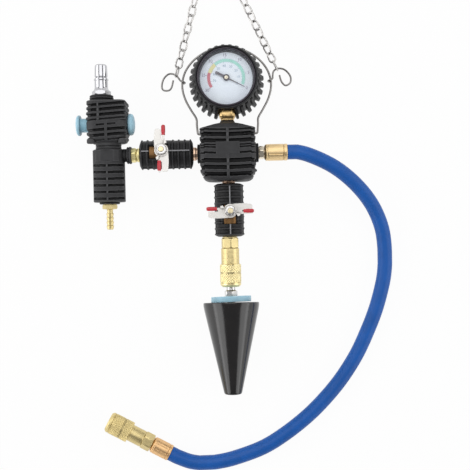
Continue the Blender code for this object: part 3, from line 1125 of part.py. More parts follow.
def bail_points():
    """The bail from its right end, round behind the gauge, to its left end."""
    rise = BAIL_TOP_Z - BAIL_PIVOT_Z
    length = BAIL_TOP_Y - BAIL_PIVOT_Y
    foot_shift = MANIFOLD_WIDTH / 2 + BAIL_FOOT_GAP - BAIL_SHARES[0][0] * BAIL_HALF_WIDTH
    half = []
    for across, along in BAIL_SHARES:
        x = across * BAIL_HALF_WIDTH + foot_shift * max(0.0, 1 - along / BAIL_FOOT_END)
        half.append((x, BAIL_PIVOT_Y + along * length, BAIL_PIVOT_Z + along * rise))
    other = [(-x, y, z) for x, y, z in half[-2::-1]]
    loop = smooth_path(half + other, BAIL_SPACING)
    side = half[0][0]
    stub = [Vector((MANIFOLD_WIDTH / 2 - BAIL_PIVOT_DEPTH, BAIL_PIVOT_Y, BAIL_PIVOT_Z)),
            Vector((side - BAIL_BEND, BAIL_PIVOT_Y, BAIL_PIVOT_Z)),
            Vector((side - BAIL_BEND / 3, BAIL_PIVOT_Y + BAIL_BEND / 3, BAIL_PIVOT_Z))]
    far_stub = [Vector((-x, y, z)) for x, y, z in reversed(stub)]
    return stub + loop + far_stub


def hook_place(side):
    """The point of the bail that a hook hangs on, at its widest."""
    return Vector((side * BAIL_HALF_WIDTH, BAIL_PIVOT_Y + HOOK_BAIL_SHARE * (BAIL_TOP_Y - BAIL_PIVOT_Y),
                   BAIL_PIVOT_Z + HOOK_BAIL_SHARE * (BAIL_TOP_Z - BAIL_PIVOT_Z)))


def chain_frame(side):
    """Where a strand starts, which way it runs and how long it is."""
    hook = hook_place(side)
    start = Vector((hook.x + side * CHAIN_EYE_ACROSS, hook.y + CHAIN_EYE_ALONG, CHAIN_HEIGHT))
    apex = Vector((CHAIN_APEX_X, CHAIN_APEX_Y, CHAIN_HEIGHT))
    run = apex - start
    return start, run.normalized(), run.length


def link_object(name, centre, along):
    """A chain link standing on edge, as an oval ring of wire."""
    reach = LINK_LENGTH / 2 - LINK_WIRE_RADIUS
    half = LINK_WIDTH / 2 - LINK_WIRE_RADIUS
    straight = reach - half
    outline = [(reach, 0.0), (straight, half), (-straight, half), (-reach, 0.0), (-straight, -half),
               (straight, -half)]
    rings = []
    for i, (x, z) in enumerate(outline):
        before = Vector(outline[i - 1])
        after = Vector(outline[(i + 1) % len(outline)])
        out = Vector((after.y - before.y, before.x - after.x)).normalized() * LINK_WIRE_RADIUS
        rings.append([(x - out.x, 0.0, z - out.y), (x, LINK_WIRE_RADIUS, z),
                      (x + out.x, 0.0, z + out.y), (x, -LINK_WIRE_RADIUS, z)])
    facing = Matrix.Rotation(math.atan2(along.y, along.x), 4, "Z")
    return add_object(name, mesh_of_rings(name, rings, looped=True), None, centre, facing)


def strand_object(name, start, along, links, look):
    """A chain strand as one bar of link-shaped lumps, each tilted the other way from its neighbour."""
    half_wide = LINK_WIDTH / 2
    half_thick = LINK_WIRE_RADIUS * 1.5
    reach = LINK_LENGTH / 2
    neck = LINK_WIRE_RADIUS * 2
    first = reach - 2 * LINK_WIRE_RADIUS - HOOK_WIRE_RADIUS - 3 * RUNNING_GAP
    side = Vector((-along.y, along.x, 0.0))
    up = Vector((0.0, 0.0, 1.0))
    rings = []
    for i in range(1, links):
        tilt = LINK_TILT * (1 if i % 2 else -1)
        wide = side * math.cos(tilt) + up * math.sin(tilt)
        thick = up * math.cos(tilt) - side * math.sin(tilt)
        for place, half in ((-0.42, neck), (-0.2, half_wide), (0.2, half_wide), (0.42, neck)):
            middle = along * (first + i * LINK_PITCH + place * LINK_PITCH)
            rings.append([middle + wide * half, middle + thick * half_thick,
                          middle - wide * half, middle - thick * half_thick])
    strand = add_object(name, mesh_of_rings(name, rings), look, start, UPRIGHT)
    fuse(strand, link_object(name + "_end", start + along * first, along))
    return strand


def make_hanger():
    wire("bail_wire", bail_points(), BAIL_WIRE_RADIUS, STEEL)
    for name, side in (("right", 1), ("left", -1)):
        route = []
        for x, y, z in HOOK_SHARES:
            route.append((side * x * HOOK_SIZE, y * HOOK_SIZE, z * HOOK_SIZE))
        wire("hook_" + name, smooth_path(route, HOOK_SPACING), HOOK_WIRE_RADIUS, STEEL,
             hook_place(side))
        start, along, length = chain_frame(side)
        links = int(length / LINK_PITCH)
        if side < 0:
            links += 1
        strand_object("chain_" + name, start, along, links, STEEL)


def spring_wire(name, mean_radius, low, high, origin, facing):
    rise = high - low
    steps = SPRING_TURNS * SPRING_STEPS_PER_TURN
    points = []
    for i in range(steps + 1):
        angle = 2 * math.pi * SPRING_TURNS * i / steps
        points.append((mean_radius * math.cos(angle), mean_radius * math.sin(angle), low + rise * i / steps))
    piece = wire(name, points, SPRING_WIRE_RADIUS, STEEL, resolution=0)
    piece.matrix_local = Matrix.Translation(origin) @ facing
    return piece


def make_sleeve(name, start, end, radius, neck, step, chamber, body_radius, look, origin, facing):
    """A knurled coupler sleeve with its spring chamber open to the start side, start above end."""
    chamfer = SLEEVE_CHAMFER
    third = (end - start) / 3
    groove = KNURL_GROOVE_WIDTH
    deep = radius - KNURL_GROOVE_DEPTH
    wide = body_radius + RUNNING_GAP
    narrow = neck + RUNNING_GAP
    profile = [(start, radius - SMALL_BEVEL), (start + SMALL_BEVEL, radius)]
    for i in (1, 2):
        middle = start + third * i
        profile += [(middle - groove / 2, radius), (middle, deep), (middle + groove / 2, radius)]
    profile += [(end - chamfer, radius), (end, radius - chamfer)]
    shoulder = step + chamber
    return turned(name, profile, look, origin, facing,
                  bore=[(start, wide), (shoulder, wide), (shoulder, narrow), (end, narrow)])


def make_lower_coupler():
    origin = (0, 0, AXIS_HEIGHT)
    down = Matrix.Rotation(math.radians(90), 4, "X")
    gap = SEAT_GAP
    top = -COUPLER_TOP
    hex_end = -COUPLER_HEX_END
    step = -COUPLER_STEP_Y
    end = -COUPLER_BODY_END
    valve_end = -(VALVE_2_STEM_Y - VALVE_SHORT_SIDE)
    body_hex = hexagon(COUPLER_HEX_FLATS, VISIBLE_SIDES)
    thread_top = valve_end - COUPLER_THREAD_LENGTH + gap
    socket_floor = end - COUPLER_SOCKET_DEPTH
    turned("coupler_body",
           [(thread_top, PIPE_THREAD_RADIUS), (top, PIPE_THREAD_RADIUS), (top, body_hex), (hex_end, body_hex),
            (hex_end, COUPLER_BODY_RADIUS), (step, COUPLER_BODY_RADIUS), (step, COUPLER_NECK_RADIUS),
            (end, COUPLER_NECK_RADIUS)],
           BRASS, origin, down,
           bore=[(thread_top, PIPE_BORE_RADIUS), (socket_floor, PIPE_BORE_RADIUS),
                 (socket_floor, COUPLER_SOCKET_RADIUS), (end, COUPLER_SOCKET_RADIUS)])
    start = -COUPLER_SLEEVE_START
    chamber = COUPLER_STROKE + SPRING_SOLID_LENGTH
    make_sleeve("coupler_sleeve", start, -COUPLER_SLEEVE_END, COUPLER_SLEEVE_RADIUS, COUPLER_NECK_RADIUS,
                step, chamber, COUPLER_BODY_RADIUS, BRASS, origin, down)
    mean = (COUPLER_BODY_RADIUS + COUPLER_NECK_RADIUS) / 2 + RUNNING_GAP
    lift = SPRING_WIRE_RADIUS + gap
    spring_wire("coupler_spring", mean, step + lift, step + chamber - lift, origin, down)

    hex_top = -ADAPTER_HEX_TOP
    nut_end = -ADAPTER_HEX_END
    inside = end - ADAPTER_STEM_INSIDE
    stud_end = nut_end + ADAPTER_STUD_LENGTH
    groove = (inside + end) / 2
    adapter_hex = hexagon(ADAPTER_HEX_FLATS, HIDDEN_SIDES)
    half = NIPPLE_GROOVE_WIDTH
    turned("adapter_nipple",
           [(inside, ADAPTER_STEM_RADIUS), (groove - half, ADAPTER_STEM_RADIUS),
            (groove - half / 2, ADAPTER_GROOVE_RADIUS), (groove + half / 2, ADAPTER_GROOVE_RADIUS),
            (groove + half, ADAPTER_STEM_RADIUS), (hex_top, ADAPTER_STEM_RADIUS), (hex_top, adapter_hex),
            (nut_end, adapter_hex), (nut_end, ADAPTER_STUD_RADIUS), (stud_end, ADAPTER_STUD_RADIUS)],
           STEEL, origin, down, sides=HIDDEN_SIDES,
           bore=[(inside, ADAPTER_BORE_RADIUS), (stud_end, ADAPTER_BORE_RADIUS)])
    washer_top = nut_end + gap
    washer_end = washer_top + WASHER_THICK
    stud_room = ADAPTER_STUD_RADIUS + gap
    turned("adapter_washer",
           [(washer_top, WASHER_RADIUS - SMALL_BEVEL), (washer_top + SMALL_BEVEL, WASHER_RADIUS),
            (washer_end, WASHER_RADIUS)],
           BLUE_PLASTIC, origin, down, bore=[(washer_top, stud_room), (washer_end, stud_room)])
    cone_top = washer_end + gap
    lip_end = cone_top + CONE_LIP_HEIGHT
    tip = -CONE_TIP_Y
    wall_end = cone_top + CONE_TOP_WALL
    turned("adapter_cone",
           [(cone_top, CONE_LIP_RADIUS - CONE_LIP_ROUND), (cone_top + CONE_LIP_ROUND, CONE_LIP_RADIUS),
            (lip_end, CONE_LIP_RADIUS - CONE_LIP_ROUND), (tip, CONE_TIP_RADIUS)],
           CONE_RUBBER, origin, down, sides=2 * HIDDEN_SIDES,
           bore=[(cone_top, stud_room), (wall_end, stud_room), (wall_end, CONE_BORE_RADIUS),
                 (tip, CONE_BORE_RADIUS)])


def make_hose():
    gap = SEAT_GAP
    origin = (0, 0, AXIS_HEIGHT)
    chamfer = FERRULE_CHAMFER
    groove = FERRULE_GROOVE_WIDTH
    lip = FERRULE_END - groove
    turned("hose_ferrule_near",
           [(FERRULE_START, FERRULE_NECK_RADIUS), (FERRULE_START + chamfer, FERRULE_RADIUS),
            (lip - groove, FERRULE_RADIUS), (lip - groove / 2, FERRULE_GROOVE_RADIUS), (lip, FERRULE_RADIUS),
            (FERRULE_END, FERRULE_RADIUS)],
           BRASS, origin, ALONG_X,
           bore=[(FERRULE_START, HOSE_BARB_RADIUS + gap), (FERRULE_END, HOSE_BARB_RADIUS + gap)])
    first, mouth = Vector(HOSE_ROUTE[0]), Vector(HOSE_ROUTE[-1])
    path = [first] + smooth_path(HOSE_ROUTE[1:-1], HOSE_SPACING) + [mouth]
    wire("hose", path, HOSE_RADIUS, BLUE_RUBBER, resolution=4)

    run = Vector((math.cos(FAR_ANGLE), math.sin(FAR_ANGLE), 0.0))
    place = Vector((mouth.x, mouth.y, FAR_AXIS_HEIGHT)) + run * gap
    facing = Matrix.Rotation(FAR_ANGLE, 4, "Z") @ ALONG_X
    ferrule_end = FAR_FERRULE_LENGTH
    turned("hose_ferrule_far",
           [(0.0, FERRULE_RADIUS), (groove, FERRULE_RADIUS), (groove * 1.5, FERRULE_GROOVE_RADIUS),
            (groove * 2, FERRULE_RADIUS), (ferrule_end - chamfer, FERRULE_RADIUS),
            (ferrule_end, FERRULE_NECK_RADIUS)],
           RED_BRASS, place, facing,
           bore=[(0.0, HOSE_BARB_RADIUS + gap), (ferrule_end, HOSE_BARB_RADIUS + gap)])
    hex_start = ferrule_end + gap
    hex_end = hex_start + FAR_HEX_LENGTH
    sleeve_start = hex_end + FAR_SLEEVE_GAP
    sleeve_end = sleeve_start + FAR_SLEEVE_LENGTH
    step = sleeve_start + FAR_STEP_SETBACK
    chamber = FAR_STROKE + SPRING_SOLID_LENGTH
    body_end = sleeve_end - FAR_BODY_SETBACK
    socket_floor = body_end - FAR_SOCKET_DEPTH
    body_hex = hexagon(FAR_HEX_FLATS, VISIBLE_SIDES)
    barb_start = ferrule_end - FAR_NIPPLE_GRIP
    turned("hose_coupler_body",
           [(barb_start, HOSE_BARB_RADIUS), (hex_start, HOSE_BARB_RADIUS), (hex_start, body_hex),
            (hex_end, body_hex), (hex_end, FAR_BODY_RADIUS), (step, FAR_BODY_RADIUS), (step, FAR_NECK_RADIUS),
            (body_end, FAR_NECK_RADIUS)],
           BRASS, place, facing,
           bore=[(barb_start, PIPE_BORE_RADIUS), (socket_floor, PIPE_BORE_RADIUS),
                 (socket_floor, FAR_SOCKET_RADIUS), (body_end, FAR_SOCKET_RADIUS)])
    make_sleeve("hose_coupler_sleeve", sleeve_start, sleeve_end, FAR_SLEEVE_RADIUS, FAR_NECK_RADIUS, step,
                chamber, FAR_BODY_RADIUS, BRASS, place, facing)
    mean = (FAR_BODY_RADIUS + FAR_NECK_RADIUS) / 2 + RUNNING_GAP
    lift = SPRING_WIRE_RADIUS + gap
    spring_wire("hose_coupler_spring", mean, step + lift, step + chamber - lift, place, facing)


make_manifold()
make_nipples()
make_valve("valve_1", (VALVE_1_STEM_X, 0, AXIS_HEIGHT), 0.0, VALVE_1_LEAN, VALVE_1_BOOT_START)
make_valve("valve_2", (0, VALVE_2_STEM_Y, AXIS_HEIGHT), math.radians(90), VALVE_2_LEAN, VALVE_2_BOOT_START)
make_venturi()
make_gauge()
make_hanger()
make_lower_coupler()
make_hose()
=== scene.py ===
"""Looks of the coolant refill kit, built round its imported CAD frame.

Shapes are written in millimetres in the CAD's own frame and scaled once, when a piece is made.
"""
from math import copysign, cos, degrees, exp, hypot, pi, radians, sin, sqrt

import bmesh
import bpy
import numpy as np
from mathutils import Matrix, Vector


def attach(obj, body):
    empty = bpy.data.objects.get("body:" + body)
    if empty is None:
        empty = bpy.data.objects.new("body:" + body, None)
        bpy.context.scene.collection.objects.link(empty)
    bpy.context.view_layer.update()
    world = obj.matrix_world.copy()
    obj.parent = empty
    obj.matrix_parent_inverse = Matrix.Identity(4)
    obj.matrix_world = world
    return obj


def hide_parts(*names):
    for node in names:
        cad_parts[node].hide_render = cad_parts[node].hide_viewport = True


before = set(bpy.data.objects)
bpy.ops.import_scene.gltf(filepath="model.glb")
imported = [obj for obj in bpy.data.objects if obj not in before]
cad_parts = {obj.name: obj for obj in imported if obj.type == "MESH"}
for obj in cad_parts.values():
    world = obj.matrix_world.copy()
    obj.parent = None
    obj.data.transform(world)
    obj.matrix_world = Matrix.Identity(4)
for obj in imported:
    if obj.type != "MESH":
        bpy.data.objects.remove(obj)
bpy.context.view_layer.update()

TO_METRES = 0.001
AXIS = 28
TURN = 2 * pi
SMALLEST_CORNER, STRAIGHT = 0.02, 0.995
BEVEL_ANGLE = radians(40)
WHITE_SHARE = 0.95
# The floor's edge and the backdrop that rises round it: (height, radius) in metres.
BOWL = [(-0.0003, 4), (0.12, 5), (0.5, 5.7), (1.2, 6), (2.4, 6)]


# Camera, lamps and floor
def fill(target, **values):
    for key, value in values.items():
        setattr(target, key, value)


def add(name, data):
    """A new object, put in the scene."""
    made = bpy.data.objects.new(name, data)
    bpy.context.scene.collection.objects.link(made)
    return made


def node(tree, kind, *inputs, **settings):
    """A shader node. Each input is (socket, value), and a value that is another node's output makes a link."""
    made = tree.nodes.new("ShaderNode" + kind)
    fill(made, **settings)
    for socket, value in inputs:
        if isinstance(value, bpy.types.NodeSocket):
            tree.links.new(value, made.inputs[socket])
        else:
            made.inputs[socket].default_value = value
    return made


def make_camera():
    data = bpy.data.cameras.new("camera")
    fill(data, sensor_width=36, lens=66.79, clip_end=20)
    camera = add("camera", data)
    fill(camera, location=(0.0052, -0.0818, 0.9), rotation_euler=(0, 0, radians(-1.25)))
    bpy.context.scene.camera = camera


def lamp(name, place, aim, width, height, radiance):
    """A soft box of a given brightness, so that its power follows its area."""
    data = bpy.data.lights.new(name, "AREA")
    fill(data, shape="RECTANGLE", size=width, size_y=height, energy=radiance * pi * width * height)
    way = (Vector(aim) - Vector(place)).to_track_quat("-Z", "Y")
    fill(add(name, data), location=place, rotation_mode="QUATERNION", rotation_quaternion=way)


def make_studio():
    world = bpy.data.worlds.new("world")
    bpy.context.scene.world = world
    world.use_nodes = True
    world.node_tree.nodes["Background"].inputs["Color"].default_value = (0.25, 0.25, 0.255, 1)
    lamp("box_left", (-1.22, -0.25, 0.72), (0, -0.05, 0), 2.2, 1, 1.7)
    lamp("box_right", (1.22, -0.25, 0.72), (0, -0.05, 0), 2.2, 0.9, 1.45)
    lamp("box_top", (-0.05, 0.72, 1.22), (0, 0.05, 0), 1.3, 1.85, 1.4)

    mesh = bpy.data.meshes.new("floor")
    points, faces = lathe(BOWL, 64)
    mesh.from_pydata(points.tolist(), [], faces[:-1])
    floor = add("floor", mesh)
    paper = bpy.data.materials.new("paper")
    paper.use_nodes = True
    tree = paper.node_tree
    tree.nodes.clear()
    path = node(tree, "LightPath").outputs
    seen = path["Is Camera Ray"]
    for ray in ("Is Glossy Ray", "Is Transmission Ray"):
        seen = node(tree, "Math", (0, seen), (1, path[ray]), operation="MAXIMUM").outputs[0]
    share = node(tree, "Math", (0, seen), (1, WHITE_SHARE), operation="MULTIPLY").outputs[0]
    sheet = node(tree, "BsdfDiffuse", ("Color", (0.92, 0.92, 0.92, 1))).outputs[0]
    white = node(tree, "Emission").outputs[0]
    mixed = node(tree, "MixShader", (0, share), (1, sheet), (2, white)).outputs[0]
    node(tree, "OutputMaterial", ("Surface", mixed))
    mesh.materials.append(paper)


# Finishes
def look(name, colour, roughness, metallic=0, spread=0.12, blotch=160, swing=0.07, grain=1400, relief=0.25,
        depth=0.00003, edge=None, crease_shade=None, cavity_shade=None, reach=0.004, open_at=0.95, shut_at=0.6, **sockets):
    """A finish made of nodes: blotchy colour, uneven roughness, surface grain, a painted highlight on sharp edges,
    painted shade in creases and hollows.
    """
    made = bpy.data.materials.new(name)
    made.use_nodes = True
    tree = made.node_tree
    shader = tree.nodes["Principled BSDF"].inputs
    shader["Metallic"].default_value = metallic
    for socket, value in sockets.items():
        shader[socket.replace("_", " ")].default_value = value
    place = node(tree, "TexCoord").outputs["Object"]

    def noise(scale, detail):
        scale = scale if isinstance(scale, tuple) else (scale,) * 3
        stretch = node(tree, "Mapping", ("Scale", scale), ("Vector", place)).outputs[0]
        return node(tree, "TexNoise", ("Scale", 1), ("Detail", detail), ("Vector", stretch)).outputs["Fac"]

    def ramp(*value_and_ends):
        return node(tree, "MapRange", *enumerate(value_and_ends)).outputs[0]

    def mix(factor, *colours):
        first, last = [(*c, 1) if isinstance(c, tuple) else c for c in colours]
        return node(tree, "Mix", ("Factor", factor), (6, first), (7, last), data_type="RGBA").outputs[2]

    darker = tuple(c * (1 - spread) for c in colour)
    lighter = tuple(min(1, c * (1 + spread)) for c in colour)
    base = mix(ramp(noise(blotch, 4), 0.3, 0.7, 0, 1), darker, lighter)
    if edge or crease_shade:
        sharpness = node(tree, "NewGeometry").outputs["Pointiness"]
    # Concave creases, found by pointiness, take the darker crease colour: painted shade.
    if crease_shade:
        base = mix(ramp(sharpness, 0.44, 0.495, 1, 0), base, crease_shade)
    # Sharp convex edges, found by pointiness, take the lighter edge colour: a painted highlight.
    if edge:
        base = mix(ramp(sharpness, 0.505, 0.56, 0, 1), base, edge)
    # Hollows found by ambient occlusion take the darker cavity colour: painted shade.
    if cavity_shade:
        shade = node(tree, "AmbientOcclusion", ("Distance", reach), samples=8, only_local=True).outputs["AO"]
        base = mix(ramp(shade, shut_at, open_at, 1, 0), base, cavity_shade)
    fine = noise(grain, 3)
    rough = ramp(fine, 0.25, 0.75, roughness - swing, roughness + swing)
    bump = node(tree, "Bump", ("Strength", relief), ("Distance", depth), ("Height", fine)).outputs[0]
    for socket, value in (("Base Color", base), ("Roughness", rough), ("Normal", bump)):
        tree.links.new(value, shader[socket])
    return made


ROUND_Y, ROUND_X = (60, 3200, 60), (3200, 60, 60)
YELLOW, COPPER = (0.76, 0.63, 0.32), (0.72, 0.5, 0.36)


# A rubber whose lighter edge colour is a painted highlight on rib crests and whose darker cavity colour is painted
# shade in the grooves.
def rubber(name, colour, roughness, edge, cavity_shade):
    return look(name, colour, roughness, edge=edge, cavity_shade=cavity_shade, relief=0.5, depth=0.00006, grain=2600, reach=0.006,
        Specular_IOR_Level=0.22)


# Brass whose hollows are darkened to a share of its colour: painted shade.
def brass(name, colour, grain=900, roughness=0.38, shade_share=0.4, reach=0.0015):
    return look(name, colour, roughness, 1, spread=0.08, blotch=120, swing=0.06, grain=grain, relief=0.1,
        depth=0.00002, cavity_shade=tuple(c * shade_share for c in colour), reach=reach, open_at=0.85, shut_at=0.35)


def print_ink(name, colour, spread=0.05):
    return look(name, colour, 0.5, spread=spread, relief=0.1)


# Each rubber's second colour is a painted crest highlight, its third painted shade in the grooves.
RUBBER = rubber("rubber", (0.04, 0.04, 0.042), 0.55, (0.098, 0.098, 0.101), (0.0022, 0.0022, 0.0025))
VALVE_RUBBER = rubber("rubber_valve", (0.02, 0.02, 0.021), 0.46, (0.062, 0.062, 0.065), (0.0012,) * 3)
GAUGE_RUBBER = rubber("rubber_gauge", (0.01, 0.01, 0.011), 0.44, (0.03, 0.03, 0.032), (0.0015,) * 3)
# A light grey copy of the boot rubber for the seam ridges: a painted highlight.
RIDGE_HIGHLIGHT_RUBBER = look("rubber_ridge_highlight", (0.24, 0.24, 0.25), 0.4, grain=2600, relief=0.3)
CONE_RUBBER = look("cone_rubber", (0.006, 0.005, 0.005), 0.17, spread=0.4, blotch=90, swing=0.05, relief=0.15,
    Specular_IOR_Level=0.8)
HOSE_BLUE = look("hose_cover", (0.01, 0.1, 0.4), 0.4, spread=0.1, Specular_IOR_Level=0.32, blotch=60, relief=0.35,
    depth=0.00005, grain=1800)
# The lighter edge colours of the blue plastic and the red vinyl are painted highlights.
BLUE = look("light_blue", (0.33, 0.61, 0.75), 0.38, spread=0.07, relief=0.2, edge=(0.6, 0.8, 0.9))
RED = look("red_vinyl", (0.52, 0.02, 0.036), 0.3, edge=(0.62, 0.06, 0.07))
BRASS_Y = brass("brass_y", YELLOW, ROUND_Y, 0.46)
BRASS_X = brass("brass_x", (0.98, 0.84, 0.42), ROUND_X, 0.46)
# Darker copies of the brass for the far coupler, where the lamps fall brighter: painted shade.
BRASS_FAR_SHADED = brass("brass_far_shaded", (0.7, 0.57, 0.28), 400)
KNURLED_FAR_SHADED = brass("brass_knurled_far_shaded", (0.78, 0.64, 0.31), roughness=0.46, reach=0.0009)
# A dark copy of brass for the valve bodies and hidden parts that sit in shade: painted shade.
BRASS_SHADED = brass("brass_shaded", (0.19, 0.105, 0.045))
STEM_BRASS = brass("brass_stem", (0.86, 0.76, 0.5), 900, 0.42)
PALE_BRASS = brass("brass_pale", (0.82, 0.74, 0.6), ROUND_X, 0.25)
KNURLED = brass("brass_knurled", (0.93, 0.8, 0.44), 900, 0.34, shade_share=0.35, reach=0.0009)
SOCKET_BRASS = brass("brass_socket", (0.82, 0.58, 0.27), 900, 0.3)
FERRULE = brass("ferrule", (0.84, 0.63, 0.34), (500, 1500, 1500), 0.4, shade_share=0.6)
FERRULE_FAR = brass("ferrule_far", (0.84, 0.54, 0.27), 500, 0.4, shade_share=0.6)
RED_BRASS = brass("red_brass", COPPER, ROUND_X, 0.3)
RED_BRASS_Y = brass("red_brass_y", COPPER, ROUND_Y, 0.3)
# The darker cavity colours of these metals are painted shade in their hollows.
CHROME = look("chrome", (0.58, 0.58, 0.6), 0.13, 1, spread=0.05, swing=0.04, grain=600, relief=0.05,
    cavity_shade=(0.3, 0.3, 0.31), reach=0.0015)
BRIGHT_STEEL = look("bright_steel", (0.64, 0.63, 0.62), 0.22, 1, spread=0.08, swing=0.05, grain=600, relief=0.08,
    cavity_shade=(0.16, 0.15, 0.14), reach=0.0015)
STEEL = look("steel", (0.27, 0.26, 0.25), 0.22, 1, spread=0.15, swing=0.06, grain=1500, relief=0.1)
CHAIN_STEEL = look("chain_steel", (0.6, 0.585, 0.57), 0.18, 1, spread=0.35, blotch=500, swing=0.06, grain=1500,
    relief=0.1, cavity_shade=(0.05, 0.05, 0.05), reach=0.0015)
# The lever's lighter edge colour is a painted highlight, its darker cavity colour painted shade.
NICKEL = look("nickel_plate", (0.76, 0.74, 0.7), 0.36, 0.25, spread=0.03, swing=0.05, grain=400, relief=0.1,
    edge=(0.86, 0.84, 0.8), cavity_shade=(0.14, 0.12, 0.1), reach=0.0022)
# The lighter edge colour is a painted highlight on the bezel and case edges.
BLACK_METAL = look("black_metal", (0.03, 0.025, 0.034), 0.36, 0.2, relief=0.1, edge=(0.05, 0.04, 0.058))
DIAL_WHITE = look("dial_white", (0.83, 0.9, 1), 0.45, spread=0.03, blotch=60, relief=0.1)
# The lighter edge colour is a painted highlight on the pointer's edges.
DARK = look("pointer_paint", (0.03, 0.025, 0.04), 0.42, relief=0.2, edge=(0.16, 0.15, 0.18))
# The cream cap's darker crease colour is painted shade in its grooves.
CAP_CREAM = look("cap_cream", (0.8, 0.74, 0.6), 0.3, 0.6, spread=0.05, relief=0.1, crease_shade=(0.2, 0.15, 0.09))
TEAL = print_ink("band_teal", (0.38, 0.74, 0.66), 0.06)
PALE_YELLOW = print_ink("band_yellow", (0.8, 0.76, 0.4))
MUTED_RED = print_ink("band_red", (0.6, 0.18, 0.22), 0.06)
INK = print_ink("dial_ink", (0.27, 0.23, 0.34))
INK_BLUE = print_ink("dial_ink_blue", (0.26, 0.38, 0.5))
GLASS = look("lens", (0.9, 0.95, 0.96), 0.06, spread=0.02, swing=0.02, relief=0.02, Alpha=0.03)


# Mesh making
def skin(rings, looped=False):
    """A closed shell through rings of points: capped at both ends, or joined end to end."""
    rings = np.asarray(rings, float)
    count, around = rings.shape[:2]
    row = np.arange(count if looped else count - 1)[:, None] * around
    column = np.arange(around)[None, :]
    following = (column + 1) % around
    above = (row + around) % (count * around)
    faces = np.stack([row + column, row + following, above + following, above + column], -1)
    faces = faces.reshape(-1, 4).tolist()
    if not looped:
        faces += [list(range(around))[::-1], list(range((count - 1) * around, count * around))]
    return rings.reshape(-1, 3), faces


def put(shell, place):
    """The shell moved by a matrix in millimetres."""
    points, faces = shell
    turned = np.array(place.to_3x3())
    return points @ turned.T + np.array(place.translation), faces


def piece(name, shells, finish, stands_for, place=None, body="kit", sharp=33, bevel=None):
    """One object from one or more closed shells, standing for a CAD node and riding on a body."""
    points, faces = [], []
    for shell in shells if isinstance(shells, list) else [shells]:
        spots, loops = put(shell, place) if place else shell
        base = sum(map(len, points))
        points.append(spots)
        faces += [[base + i for i in loop] for loop in loops]
    mesh = bpy.data.meshes.new(name)
    mesh.from_pydata((np.concatenate(points) * TO_METRES).tolist(), [], faces)
    work = bmesh.new()
    work.from_mesh(mesh)
    bmesh.ops.recalc_face_normals(work, faces=work.faces[:])
    work.to_mesh(mesh)
    work.free()
    mesh.shade_smooth()
    mesh.set_sharp_from_angle(angle=radians(sharp))
    mesh.materials.append(finish)
    made = add(name, mesh)
    if bevel:
        edges = made.modifiers.new("edges", "BEVEL")
        fill(edges, width=bevel * TO_METRES, segments=2, limit_method="ANGLE", angle_limit=BEVEL_ANGLE)
    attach(made, body)
    if stands_for:
        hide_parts(stands_for)
    return made


def toward(origin, direction):
    """A frame whose Z runs in a direction and whose X, where angles start, points up."""
    z, up = Vector(direction).normalized(), Vector((0, 0, 1))
    x = (up - z * up.dot(z)).normalized()
    made = Matrix((x, z.cross(x), z)).transposed().to_4x4()
    made.translation = Vector(origin)
    return made


EAST, WEST, SOUTH = [toward((0, 0, AXIS), way) for way in ((1, 0, 0), (-1, 0, 0), (0, -1, 0))]


def spin(angle, axis):
    """A turn by degrees about an axis."""
    return Matrix.Rotation(radians(angle), 4, axis)


def rounded(before, corner, after, size, share, steps):
    """Points that round a corner, within a share of its shorter side. A straight corner stays one point."""
    into, out = corner - before, after - corner
    reach = min(size, into.length * share, out.length * share)
    into.normalize()
    out.normalize()
    if reach < SMALLEST_CORNER or into.dot(out) > STRAIGHT:
        return [tuple(corner)]
    start, end = corner - into * reach, corner + out * reach
    shares = [step / steps for step in range(steps + 1)]
    return [tuple(start * (1 - t) ** 2 + corner * (2 * t * (1 - t)) + end * t ** 2) for t in shares]


def eased(profile, radius=0.3, steps=3):
    """The profile with its corners rounded. A third value on a point is its own radius."""
    points = [Vector(p[:2]) for p in profile]
    made = [tuple(points[0])]
    for i in range(1, len(points) - 1):
        size = profile[i][2] if len(profile[i]) > 2 else radius
        made += rounded(*points[i - 1:i + 2], size, 0.45, steps)
    return made + [tuple(points[-1])]


def ring_at(height, angles, radii):
    return np.stack([radii * np.cos(angles), radii * np.sin(angles), np.full(len(angles), float(height))], 1)


def lathe(profile, sides=60, relief=None, looped=False):
    """A turned shell about Z through (height, radius) pairs. relief gives a ring's own radii. Two more values
    on a pair, the flats and the turn in degrees, trim its ring to a hexagon."""
    angles = np.arange(sides) * (TURN / sides)
    rings = []
    for height, radius, *hexagon in profile:
        radii = np.full(sides, float(radius))
        if hexagon:
            flats, turn = hexagon
            off = (angles + radians(turn)) % (TURN / 6) - TURN / 12
            radii = np.minimum(radii, flats / 2 / np.cos(off))
        if relief:
            radii = relief(height, angles, radii)
        rings.append(ring_at(height, angles, radii))
    return skin(rings, looped)


def hollow(profile, sides=60, relief=None):
    """A turned shell whose profile runs round its wall and closes on itself."""
    return lathe(profile, sides, relief, looped=True)


def hex_profile(low, high, flats, turn, chamfer=0.9):
    """The turned envelope of a hexagon with its corners chamfered at both ends."""
    flat = flats / 2
    core, corner = flat * 0.985, flat / cos(pi / 6)
    widening = (corner - core) * chamfer + (1 - chamfer) * (corner - flat)
    half = [(0.05 + (corner - flat) * 0.62 * t, core + widening * t) for t in (0, 0.25, 0.5, 0.75, 1)]
    ends = [(low, 1, half), (high, -1, half[::-1])]
    return [(end + way * rise, radius, flats, turn) for end, way, part in ends for rise, radius in part]


def smooth(t):
    return t * t * (3 - 2 * t)


def band(value, low, high, width=0.5):
    """1 between low and high, 0 outside, with smooth sides."""
    rise, fall = [np.clip((value - edge) / width + 0.5, 0, 1) for edge in (low, high)]
    return smooth(rise) * (1 - smooth(fall))


